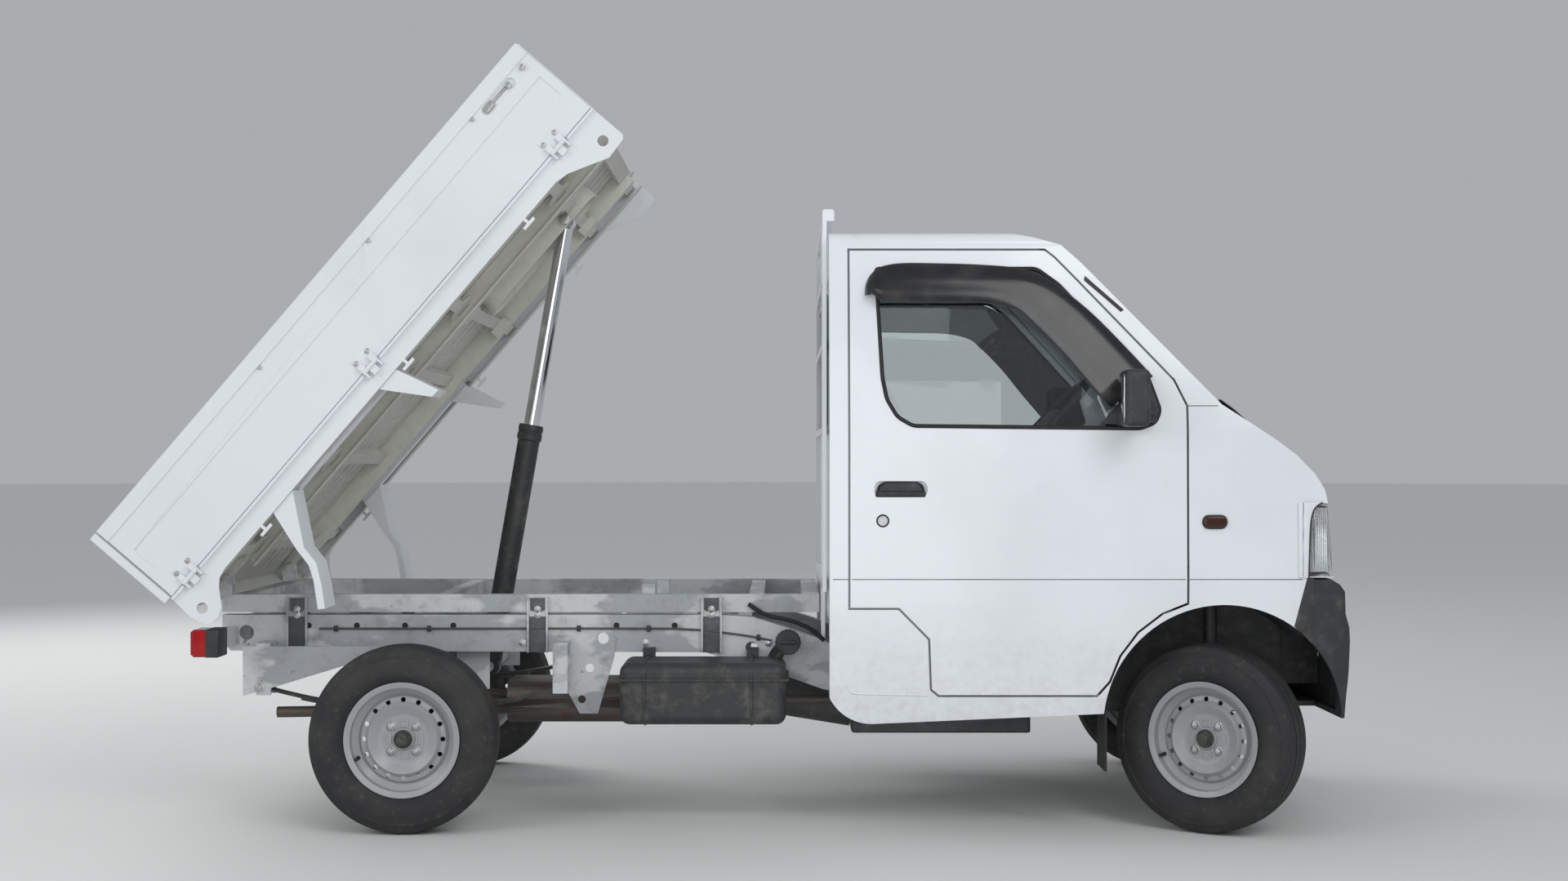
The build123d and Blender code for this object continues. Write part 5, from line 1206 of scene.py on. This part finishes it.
def makePlate(name, x, facing, low, high, half):
    # a blank plate with a raised edge and two screws
    outline, inset = rounded((-half, low), (half, high), 0.012), 0.004
    plate = panel("plate", [(x, y, z) for y, z in outline], (facing * 0.0016, 0, 0), 0.0005)
    outline = rounded((-half + inset, low + inset), (half - inset, high - inset), 0.009, 3)
    edge = wire("edge", [(x + facing * 0.0014, y, z) for y, z in outline], 0.0014, True)
    finishJoined(name, [plate, edge], plateWhite, angle=40)
    screws = [hexBolt("screw", (x + facing * 0.0016, y, high - 0.018), (facing, 0, 0), 0.0062, 0.004)
              for y in (-half + 0.058, half - 0.058)]
    finishJoined(name + "Screws", screws, boltSteel, angle=40)


def makePlateBracket():
    size = frameTrim
    x = size["plateX"]
    pieces = [block("strip", (x + 0.002, -0.140, size["plateHigh"] - 0.032),
                    (x + 0.005, 0.140, size["plateHigh"] + 0.004), 0.001)]
    for y in (-0.110, 0.110):
        pieces.append(block("arm", (x + 0.002, y - 0.012, size["plateHigh"] - 0.020), (x + 0.006, y + 0.012, 0.545),
                            0.001))
        pieces.append(block("tab", (x + 0.002, y - 0.012, 0.541), (-1.512, y + 0.012, 0.545), 0.001))
    finishJoined("plateBracket", pieces, chassisBlack)
    lamp = block("plateLamp", (x + 0.002, -0.024, 0.522), (x + 0.026, 0.024, 0.540), 0.004, 3)
    finishPiece(lamp, blackPlastic)


makeFuelCap()
makePlate("rearPlate", frameTrim["plateX"], -1, frameTrim["plateLow"], frameTrim["plateHigh"], frameTrim["plateHalf"])
makePlate("frontPlate", cabTrim["plateX"], 1, cabTrim["plateLow"], cabTrim["plateHigh"], cabTrim["plateHalf"])
makePlateBracket()
harness = wire("harness", [(x, -frameTrim["rail"] - 0.007, z) for x, z in frameTrim["harness"]], 0.0065, False, 0.02)
finishPiece(harness, sealRubber, angle=60)
print("frame hardware made")


# Bed hardware, drawn in the bed's own measure: along from its rear edge, across, up from its hinge line

bedTrim = {
    "half": 0.703, "hinges": (0.088, 0.877, 1.700), "tailHinges": (-0.560, -0.190, 0.190, 0.560),
    "latch": (1.640, 1.758, 0.222), "latchPin": (1.806, 0.225), "studs": (0.665, 1.143, 1.600), "studUp": 0.236,
    "ramEye": (1.567, -0.048), "barrelLength": 0.782, "hingeEar": (0.698, 0.7185), "tailRear": -0.024,
    "gland": ((0.0258, 0.0015), (0.0345, 0.0015), (0.0370, -0.001), (0.0395, -0.005), (0.0395, -0.018),
              (0.0372, -0.020), (0.0372, -0.026), (0.0395, -0.028), (0.0395, -0.046), (0.0352, -0.050),
              (0.0258, -0.050)),
    "seam": ((0.0340, -0.004), (0.0372, -0.003), (0.0372, 0.003), (0.0340, 0.004)),
}


def finishOnBed(piece, material, body, angle=35):
    moveBy(piece, bedPlace)
    return finishPiece(piece, material, body, angle)


def makeGateHardware(name, side):
    size = bedTrim
    face, out, body = side * (size["half"] - 0.004), Vector((0, side, 0)), "gate_" + name
    straps, bolts = [], []
    for station in size["hinges"]:
        straps.append(block("strap", (station - 0.034, face - side * 0.001, 0.004),
                            (station + 0.034, face + side * 0.0035, 0.048), 0.002))
        for shift in (-0.024, 0.024):
            bolts.append(hexBolt("bolt", (station + shift, face + side * 0.003, 0.033), out, 0.0058, 0.0045))
    finishOnBed(joinPieces("gateStraps." + name, straps), bedPaint, body)
    for station in size["studs"]:
        bolts.append(bar("stud", (station, face, size["studUp"]), (station, face + side * 0.0065, size["studUp"]),
                         0.0062, 16, 0.0015))
    x, z = size["latchPin"]
    bolts.append(bar("pin", (x, face, z), (x, face + side * 0.011, z), 0.0085, 20, 0.002))
    lowX, highX, z = size["latch"]
    deep = face - side * 0.0058
    lever = [bar("rod", (lowX, deep, z + 0.003), (highX - 0.022, deep, z + 0.003), 0.0048, 16, 0.0015),
             bar("pivot", (highX - 0.016, deep - side * 0.004, z), (highX - 0.016, face + side * 0.0045, z), 0.0092,
                 20, 0.0015),
             block("grip", (lowX, deep, z - 0.009), (lowX + 0.036, deep + side * 0.009, z + 0.011), 0.004, 3)]
    finishOnBed(joinPieces("latch." + name, lever), boltSteel, body, 40)
    finishOnBed(joinPieces("gateBolts." + name, bolts), boltSteel, body, 40)


def makeHingeBrackets(name, side):
    # what carries the gate's hinge pins on the bed's sill
    low, high = bedTrim["hingeEar"]
    pieces = [sideBlock("ear", side, (x - 0.0035, low, -0.028), (x + 0.0035, high, 0.0005))
              for station in bedTrim["hinges"] for x in (station - 0.026, station + 0.026)]
    finishOnBed(joinPieces("hingeEars." + name, pieces), bedPaint, "bed")


def makeTailgateHardware():
    straps, bolts = [], []
    rear = bedTrim["tailRear"]
    for y in bedTrim["tailHinges"]:
        straps.append(block("strap", (rear - 0.0035, y - 0.026, 0.004), (rear + 0.001, y + 0.026, 0.060), 0.0015))
        for up in (0.024, 0.046):
            bolts.append(hexBolt("bolt", (rear - 0.003, y, up), (-1, 0, 0), 0.0062, 0.0048))
    finishOnBed(joinPieces("tailStraps", straps), bedPaint, "tailgate")
    finishOnBed(joinPieces("tailBolts", bolts), boltSteel, "tailgate", 40)


def makeRamHardware():
    along, up = bedTrim["ramEye"]
    heads = [bar("pinHead", (along, side * 0.0545, up), (along, side * 0.0655, up), 0.0170, 24, 0.002)
             for side in (-1, 1)]
    finishOnBed(joinPieces("ramPin", heads), boltSteel, "bed", 40)
    slide, foot = Vector(joints["ram_slide"]["axis"]), Vector(joints["ram_swing"]["pos_m"])
    if slide.z < 0:
        slide = -slide
    top = foot + bedTrim["barrelLength"] * slide
    gland = turned("gland", bedTrim["gland"], 48, top, slide)
    seam = turned("seam", bedTrim["seam"], 48, foot + 0.06 * slide, slide)
    low = foot + 0.085 * slide
    port = bar("port", low + Vector((0.034, 0, 0.001)), low + Vector((0.052, 0, 0.002)), 0.0125, 6, 0.001)
    finishJoined("ramGland", [gland, seam, port], chassisBlack, "ram_barrel", 40)


for name, side in sides:
    makeGateHardware(name, side)
    makeHingeBrackets(name, side)
makeTailgateHardware()
makeRamHardware()
print("bed hardware made")


# Inside the cab: padded seats blown up as cloth, belts, controls, dashboard fittings, mats and seals

seat = {
    "near": 0.108, "far": 0.562, "voxel": 0.0065, "cap": 0.013, "pressure": 4.0, "frames": 20,
    "cushion": ((0.474, 0.776), (0.838, 0.776), (0.852, 0.802), (0.848, 0.846), (0.818, 0.860), (0.760, 0.862),
                (0.620, 0.850), (0.520, 0.840), (0.480, 0.836)),
    "back": ((0.376, 0.815), (0.470, 0.850), (0.458, 0.930), (0.444, 1.050), (0.436, 1.180), (0.424, 1.252),
             (0.400, 1.272), (0.372, 1.262), (0.364, 1.100)),
    "rest": ((0.370, 1.322), (0.408, 1.322), (0.414, 1.350), (0.409, 1.408), (0.394, 1.424), (0.374, 1.420),
             (0.367, 1.380)),
    "restNear": 0.225, "restFar": 0.445,
    "base": ((0.380, 0.7005), (0.790, 0.7005), (0.836, 0.770), (0.470, 0.770), (0.380, 0.800)),
    "shell": ((0.352, 0.815), (0.368, 0.812), (0.360, 1.100), (0.366, 1.258), (0.354, 1.258), (0.349, 1.100)),
    "channelShift": 0.115, "postShift": 0.055,
}


def puff(piece):
    # voxels, then air by cloth simulation; no point goes further than the cap
    voxels = piece.modifiers.new("voxels", "REMESH")
    voxels.mode = "VOXEL"
    voxels.voxel_size = seat["voxel"]
    applyModifiers(piece)
    before = [vertex.co.copy() for vertex in piece.data.vertices]
    air = piece.modifiers.new("air", "CLOTH")
    air.settings.use_pressure = True
    air.settings.uniform_pressure_force = seat["pressure"]
    air.settings.effector_weights.gravity = 0
    air.point_cache.frame_start = 1
    air.point_cache.frame_end = seat["frames"]
    for step in range(1, seat["frames"] + 1):
        bpy.context.scene.frame_set(step)
    applyModifiers(piece)
    bpy.context.scene.frame_set(1)
    for vertex, start in zip(piece.data.vertices, before):
        move = vertex.co - start
        if move.length > seat["cap"]:
            vertex.co = start + seat["cap"] * move.normalized()


def sewnChannels(piece, lines, across, depth, width):
    # pulls the surface in along sewn lines; each line is a level on one axis, and the pull is along another
    axis, pull = across
    for vertex in piece.data.vertices:
        inset = sum(depth * exp(-((vertex.co[axis] - level) / width) ** 2) for level in lines)
        facing = vertex.normal[pull]
        if facing > 0.35:
            vertex.co[pull] -= inset * facing


def makePad(name, outline, near, far, bevel):
    # a side outline pulled across the cab, rounded off and puffed up
    pad = panel(name, [(x, near, z) for x, z in outline], (0, far - near, 0), bevel, 4)
    puff(pad)
    return pad


def makeSeats():
    near, far = seat["near"], seat["far"]
    middle = (near + far) / 2
    cushion = makePad("cushionMaster", seat["cushion"], near, far, 0.016)
    back = makePad("backMaster", seat["back"], near + 0.006, far - 0.006, 0.016)
    rest = makePad("restMaster", seat["rest"], seat["restNear"], seat["restFar"], 0.012)
    for piece, floorLevel in ((cushion, 0.770), (rest, 1.314)):
        for vertex in piece.data.vertices:
            vertex.co.z = max(vertex.co.z, floorLevel)
    channels = (middle - seat["channelShift"], middle, middle + seat["channelShift"])
    sewnChannels(cushion, channels, (1, 2), 0.0075, 0.0055)
    sewnChannels(cushion, (0.790,), (0, 2), 0.006, 0.005)
    sewnChannels(back, channels, (1, 0), 0.0075, 0.0055)
    sewnChannels(back, (1.180,), (2, 0), 0.006, 0.005)
    for name, side in sides:
        for master, kind, fill in ((cushion, "cushion", 0.6), (back, "backrest", 0.6), (rest, "headrest", 0.75)):
            pad = copyPiece(master, kind + "." + name)
            if side < 0:
                for vertex in pad.data.vertices:
                    vertex.co.y = -vertex.co.y
                editAll(pad)
                bpy.ops.mesh.flip_normals()
                objectMode()
            finishPiece(pad, seatCloth, angle=60)
            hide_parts("seats")
        base = panel("base", [(x, side * (near + 0.012), z) for x, z in seat["base"]],
                     (0, side * (far - near - 0.024), 0), 0.006, 3)
        shell = panel("shell", [(x, side * (near + 0.014), z) for x, z in seat["shell"]],
                      (0, side * (far - near - 0.028), 0), 0.003)
        stand = finishJoined("seatBase." + name, [base, shell], blackPlastic)
        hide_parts("seats")
        posts = [bar("post", (0.389, side * y, 1.255), (0.391, side * y, 1.335), 0.0058, 16)
                 for y in (middle - seat["postShift"], middle + seat["postShift"])]
        finishJoined("restPosts." + name, posts, boltSteel, angle=50)
    for master in (cushion, back, rest):
        bpy.data.objects.remove(master)


belt = {
    "line": ((0.372, 0.612, 1.440), (0.368, 0.606, 1.100), (0.378, 0.592, 0.880), (0.410, 0.588, 0.745)),
    "strips": (0.0, 0.016, 0.031, 0.047), "ring": ((0.360, 0.598, 1.425), (0.428, 0.640, 1.462)),
    "tongue": ((0.380, 0.582, 0.880), (0.428, 0.590, 0.925)), "stalk": ((0.455, 0.078, 0.760), (0.485, 0.098, 0.900)),
}


def makeBelts(name, side):
    # webbing from the pillar to the sill with its ring and tongue, and the buckle's stalk beside the seat's other edge
    rows = [[Vector((x + shift, side * y, z)) for x, y, z in belt["line"]] for shift in belt["strips"]]
    strap = bentSheet("belt." + name, rows, 0.0014)
    finishPiece(strap, beltCloth, angle=60)
    fittings = [sideBlock(key, side, *belt[key], bevel, segments)
                for key, bevel, segments in (("ring", 0.008, 3), ("tongue", 0.003, 2), ("stalk", 0.008, 3))]
    finishJoined("beltFittings." + name, fittings, blackPlastic)


controls = {
    "lever": (0.895, 0.015), "leverTop": 0.815, "brake": ((0.560, -0.045, 0.735), (0.770, -0.045, 0.800)),
    "pedals": ((-0.215, 0.024), (-0.300, 0.030), (-0.372, 0.030)), "rim": (0.959, -0.350, 1.180),
    "boot": ((0.0, 0.0), (0.062, 0.0), (0.060, 0.010), (0.046, 0.024), (0.050, 0.034), (0.036, 0.048), (0.040, 0.058),
             (0.026, 0.074), (0.029, 0.084), (0.014, 0.104), (0.0, 0.104)),
    "knob": ((0.0, -0.026), (0.010, -0.026), (0.020, -0.008), (0.023, 0.008), (0.018, 0.022), (0.0, 0.027)),
    "hornPad": ((0.0, 0.002), (0.056, 0.002), (0.060, 0.010), (0.058, 0.020), (0.048, 0.027), (0.044, 0.0245),
                (0.0, 0.0260)),
}


def makeControls():
    x, y = controls["lever"]
    boot = turned("gearBoot", controls["boot"], 36, (x, y, 0.474), (0, 0, 1), False)
    finishPiece(boot, sealRubber, angle=50)
    stick = wire("stick", [(x, y, 0.560), (x - 0.010, y, 0.700), (x - 0.050, y - 0.004, controls["leverTop"] - 0.02)],
                 0.0065, False, 0.03)
    top = (x - 0.052, y - 0.004, controls["leverTop"])
    knob = turned("knob", controls["knob"], 32, top, (-0.28, 0, 0.96), False)
    low, high = (Vector(point) for point in controls["brake"])
    grip = bar("grip", low.lerp(high, 0.45), high, 0.0135, 24, 0.004)
    arm = bar("arm", low, high, 0.008, 16)
    button = bar("button", high, high + 0.012 * (high - low).normalized(), 0.0055, 16, 0.001)
    foot = block("foot", (0.520, -0.075, 0.7005), (0.640, -0.015, 0.752), 0.012, 3)
    finishJoined("gearLever", [stick, knob], blackPlastic, angle=50)
    finishJoined("handBrake", [arm, grip, button, foot], blackPlastic, angle=50)
    pads = []
    for y, half in controls["pedals"]:
        outline = ((1.140, y - half, 0.560), (1.140, y + half, 0.560), (1.168, y + half, 0.625),
                   (1.168, y - half, 0.625))
        pads.append(panel("pad", outline, (-0.008, 0, 0.0035), 0.004, 3))
        pads.append(wire("arm", [(1.160, y, 0.600), (1.215, y, 0.700), (1.225, y, 0.815)], 0.0070, False, 0.04))
    finishJoined("pedals", pads, chassisBlack, angle=50)


def makeWheelPad():
    # the horn pad with a raised rim, and two stalks and a shroud on the column
    axis, hub = Vector(joints["steering_wheel_turn"]["axis"]), Vector(controls["rim"])
    if axis.x > 0:
        axis = -axis
    pad = turned("hornPad", controls["hornPad"], 48, hub - 0.012 * axis, axis, False)
    finishPiece(pad, greyPlastic, "steering_wheel", 50)
    base = hub - 0.105 * axis
    onStalk = lambda side, x, y, z: base + Vector((x, side * y, z))
    stalks = [wire("stalk", [base, onStalk(side, -0.004, 0.060, 0.010), onStalk(side, -0.018, 0.185, 0.030)], 0.0062,
                   False, 0.02) for side in (-1, 1)]
    ends = [bar("end", onStalk(side, -0.018, 0.160, 0.025), onStalk(side, -0.022, 0.205, 0.033), 0.0095, 20, 0.003)
            for side in (-1, 1)]
    shroud = bar("shroud", base + 0.028 * axis, base - 0.075 * axis, 0.036, 32, 0.008)
    finishJoined("columnStalks", stalks + ends + [shroud], blackPlastic, angle=50)


dash = {
    "face": 1.1575, "ventHalf": (0.045, 0.024),
    "vents": ((-0.545, 1.045), (-0.120, 1.045), (0.120, 1.045), (0.545, 1.045)),
    "radio": ((-0.085, 0.955), (0.085, 1.005)), "knobs": (-0.060, 0.0, 0.060), "knobZ": 0.915,
    "knob": ((0.0, 0.0), (0.017, 0.0), (0.0155, 0.012), (0.012, 0.014), (0.0, 0.014)),
    "glove": ((0.190, 0.890), (0.520, 1.000)), "hood": ((-0.490, 1.148), (-0.210, 1.222)),
    "hoodRows": ((1.160, 0.004), (1.172, 0.0), (1.230, 0.006), (1.300, 0.030)),
    "dials": ((-0.350, 0.042), (-0.440, 0.026), (-0.260, 0.026)), "dialX": 1.196, "dialZ": 1.172,
}


def makeDashFittings():
    x = dash["face"]
    pieces = []
    halfY, halfZ = dash["ventHalf"]
    for y, z in dash["vents"]:
        outline = rounded((y - halfY, z - halfZ), (y + halfY, z + halfZ), 0.008, 3)
        pieces.append(wire("frame", [(x - 0.001, at, level) for at, level in outline], 0.003, True))
        pieces.append(panel("well", [(x - 0.0005, at, level) for at, level in outline], (0.0004, 0, 0), 0))
        for step in range(5):
            level = z - halfZ + 0.007 + step * (2 * halfZ - 0.014) / 4
            pieces.append(block("slat", (x - 0.005, y - halfY + 0.002, level - 0.0012),
                                (x - 0.0005, y + halfY - 0.002, level + 0.0012), 0))
    pieces.append(panel("radio", [(x, y, z) for y, z in rounded(*dash["radio"], 0.004, 3)], (-0.007, 0, 0), 0.0015))
    for y in dash["knobs"]:
        pieces.append(turned("knob", dash["knob"], 28, (x + 0.010, y, dash["knobZ"]), (-1, 0, 0), False))
        pieces.append(block("mark", (x - 0.012, y - 0.0016, dash["knobZ"] - 0.013),
                            (x + 0.008, y + 0.0016, dash["knobZ"] + 0.013), 0.001))
    finishJoined("dashFittings", pieces, blackPlastic, angle=40)
    lid = panel("lid", [(x + 0.001, y, z) for y, z in rounded(*dash["glove"], 0.012, 4)], (-0.006, 0, 0), 0.003, 3)
    pull = block("pull", (x - 0.012, 0.325, 0.972), (x - 0.004, 0.385, 0.986), 0.004, 3)
    finishJoined("gloveLid", [lid, pull], greyPlastic, angle=40)
    (lowY, lowZ), (highY, highZ) = dash["hood"]
    columns = [lowY + (highY - lowY) * step / 12 for step in range(13)]
    bow = [lowZ + (highZ - lowZ) * (1 - abs(2 * step / 12 - 1) ** 2.6) for step in range(13)]
    rows = [[Vector((at, y, z - drop)) for y, z in zip(columns, bow)] for at, drop in dash["hoodRows"]]
    finishPiece(bentSheet("dashHood", rows, 0.005), greyPlastic, angle=50)
    faces, rings = [], []
    for y, radius in dash["dials"]:
        centre = (dash["dialX"], y, dash["dialZ"])
        onDial = lambda out, right, up: Vector((centre[0] - out, y + right, centre[2] + up))
        faces.append(turned("dial", [(0.0, 0.0), (radius, 0.0), (radius, 0.001), (0.0, 0.001)], 40, centre,
                            (-1, 0, 0.10), False))
        rim = [(radius - 0.001, -0.001), (radius + 0.004, -0.001), (radius + 0.003, 0.004), (radius, 0.005)]
        rings.append(turned("bezel", rim, 40, centre, (-1, 0, 0.10)))
        for step in range(11):
            turn = radians(225 - 27 * step)
            root, tip = (onDial(0.0012, -radius * part * cos(turn), radius * part * sin(turn)) for part in (0.74, 0.88))
            rings.append(bar("tick", root, tip, 0.0006, 6))
        rings.append(bar("needle", onDial(0.002, 0, 0), onDial(0.002, radius * 0.5, -radius * 0.5), 0.0009, 6))
    finishJoined("dials", faces, blackPlastic, angle=40)
    finishJoined("dialRings", rings, boltSteel, angle=40)


roofTrim = {
    "mirror": ((1.066, -0.105, 1.528), (1.084, 0.105, 1.586)), "lamp": ((0.640, -0.060, 1.690), (0.740, 0.060, 1.708)),
    "glass": ((-0.098, 1.534), (0.098, 1.580)), "visorY": (0.120, 0.520),
    "visor": ((1.040, 1.624), (1.052, 1.632), (0.905, 1.690), (0.898, 1.680)),
}


def makeRoofFittings():
    # the inside mirror on its stem, the roof lamp and the sun visors
    mirror = block("mirror", *roofTrim["mirror"], 0.008, 3)
    stem = wire("stem", [(1.082, 0, 1.565), (1.098, 0, 1.600), (1.090, 0, 1.640)], 0.006, False, 0.01)
    roofLamp = block("roofLamp", *roofTrim["lamp"], 0.006, 3)
    finishJoined("roofFittings", [mirror, stem, roofLamp], greyPlastic, angle=50)
    glass = panel("insideMirror", [(1.0662, y, z) for y, z in rounded(*roofTrim["glass"], 0.010)], (-0.0012, 0, 0),
                  0.0004)
    finishPiece(glass, mirrorGlass)
    for name, side in sides:
        low, high = sorted(side * y for y in roofTrim["visorY"])
        shade = panel("sunVisor." + name, [(x, low, z) for x, z in roofTrim["visor"]], (0, high - low, 0), 0.004, 3)
        finishPiece(shade, visorVinyl)


mats = {
    "half": ((0.800, 0.618), (1.060, 0.618), (1.060, 0.385), (1.270, 0.385)), "level": 0.4705, "thickness": 0.0045,
    "ribStart": 0.815, "ribEnds": (1.050, 1.255), "ribZ": (0.4745, 0.4785), "ribPitch": 0.030, "ribCount": 41,
    "longRibs": range(8, 33),
    "cover": ((0.345, -0.606, 0.7002), (0.781, 0.606, 0.7050)),
    "edge": ((0.7835, -0.606, 0.500), (0.7890, 0.606, 0.7050)),
}


def makeMats():
    # a ribbed floor mat, narrower in front between the wheel arches, and the engine cover's mat
    outline = [(x, -y) for x, y in mats["half"]] + list(reversed(mats["half"]))
    mat = panel("mat", [(x, y, mats["level"]) for x, y in outline], (0, 0, mats["thickness"]), 0.001)
    low, high = mats["ribZ"]
    ribs = [block("rib", (mats["ribStart"], -0.604 + mats["ribPitch"] * step, low),
                  (mats["ribEnds"][step in mats["longRibs"]], -0.596 + mats["ribPitch"] * step, high), 0)
            for step in range(mats["ribCount"])]
    finishJoined("floorMat", [mat] + ribs, sealRubber)
    cover, edge = (block(key, *mats[key], 0.002) for key in ("cover", "edge"))
    finishJoined("engineMat", [cover, edge], greyPlastic)


screens = {
    "low": 1.262, "high": 1.610, "lowHalf": 0.640, "highHalf": 0.590, "steps": 8, "radius": 0.0085,
    "rear": ((-0.500, 1.180), (0.500, 1.180), (0.480, 1.560), (-0.480, 1.560)), "rearX": 0.2965,
}


def makeScreenSeals():
    steps, radius = screens["steps"], screens["radius"]
    ring = [onNose(screens["lowHalf"] * (2 * step / steps - 1), screens["low"], -0.001) for step in range(steps + 1)]
    ring += [onNose(screens["highHalf"] * (1 - 2 * step / steps), screens["high"], -0.001) for step in range(steps + 1)]
    seal = wire("screenSeal", ring, radius, True, 0.030)
    back = wire("rearSeal", [(screens["rearX"], y, z) for y, z in screens["rear"]], radius, True, 0.050)
    finishJoined("screenSeals", [seal, back], sealRubber, angle=60)


beltCloth = clothFinish("beltCloth", (0.030, 0.031, 0.034), (0.07, 0.07, 0.075))
visorVinyl = plainFinish("visorVinyl", (0.30, 0.30, 0.29), 0.7, grain=600, dust=0.1)
makeSeats()
print("seats made")
for name, side in sides:
    makeBelts(name, side)
makeControls()
makeWheelPad()
makeDashFittings()
makeRoofFittings()
makeMats()
makeScreenSeals()
print("cab inside made")


# Camera, light and floor

view = {
    "camera": (0.167, -6.443, 1.081), "focalPixels": 2459, "imageWidth": 1920, "imageHeight": 1079,
    "horizon": 560, "sensor": 36.0,
}
bpy.ops.object.camera_add(location=view["camera"], rotation=(pi / 2, 0, 0))
camera = bpy.context.object
camera.data.sensor_width = view["sensor"]
camera.data.lens = view["focalPixels"] / view["imageWidth"] * view["sensor"]
camera.data.shift_y = (view["horizon"] - view["imageHeight"] / 2) / view["imageWidth"]
bpy.context.scene.camera = camera

light = {"sky": (0.93, 0.96, 1.0), "skyStrength": 0.50, "backdrop": (0.40, 0.415, 0.43), "floor": (0.74, 0.74, 0.73)}
world = bpy.data.worlds.new("studio")
bpy.context.scene.world = world
world.use_nodes = True
worldTree = world.node_tree
worldTree.nodes.clear()
soft = addNode(worldTree, "Background", {"Strength": light["skyStrength"], "Color": (*light["sky"], 1)})
seen = addNode(worldTree, "Background", {"Strength": 1.0, "Color": (*light["backdrop"], 1)})
path = addNode(worldTree, "LightPath", {})
worldOut = addNode(worldTree, "OutputWorld", {})
mirrored = combine(worldTree, path.outputs["Is Camera Ray"], path.outputs["Is Glossy Ray"], "MAXIMUM")
anySight = combine(worldTree, mirrored, path.outputs["Is Transmission Ray"], "MAXIMUM")
blendSky = addNode(worldTree, "MixShader", {"Fac": anySight})
worldTree.links.new(soft.outputs["Background"], blendSky.inputs[1])
worldTree.links.new(seen.outputs["Background"], blendSky.inputs[2])
worldTree.links.new(blendSky.outputs["Shader"], worldOut.inputs["Surface"])

for name, place, aim, power, size in (
        ("keyLight", (3.5, -6.5, 5.5), (0, 0, 0.8), 170, 4.0), ("rearLight", (-4.5, 5.5, 5.0), (0, 0, 1.0), 210, 4.0),
        ("sideLight", (-5.5, -5.0, 3.5), (0, 0, 1.0), 90, 3.5), ("underLight", (0, -4.5, 1.3), (0, 0, 0.7), 25, 2.4)):
    run = Vector(aim) - Vector(place)
    bpy.ops.object.light_add(type="AREA", location=place, rotation=run.to_track_quat("-Z", "Y").to_euler())
    lamp = bpy.context.object
    lamp.name = name
    lamp.data.energy = power
    lamp.data.size = size

deselectAll()
bpy.ops.mesh.primitive_circle_add(vertices=96, radius=80, fill_type="NGON", location=(0, 0, -0.0005))
floor = bpy.context.object
floor.name = "floor"
floorFinish, floorTree, floorShader, floorPlace = newFinish("floorFinish", light["floor"], 0.85)
grainy = noise(floorTree, floorPlace, 60, 5)
tint(floorTree, floorShader, None, tuple(0.95 * part for part in light["floor"]), grainy)
floor.data.materials.append(floorFinish)
bpy.context.scene.view_settings.view_transform = "Standard"

print("scene done")
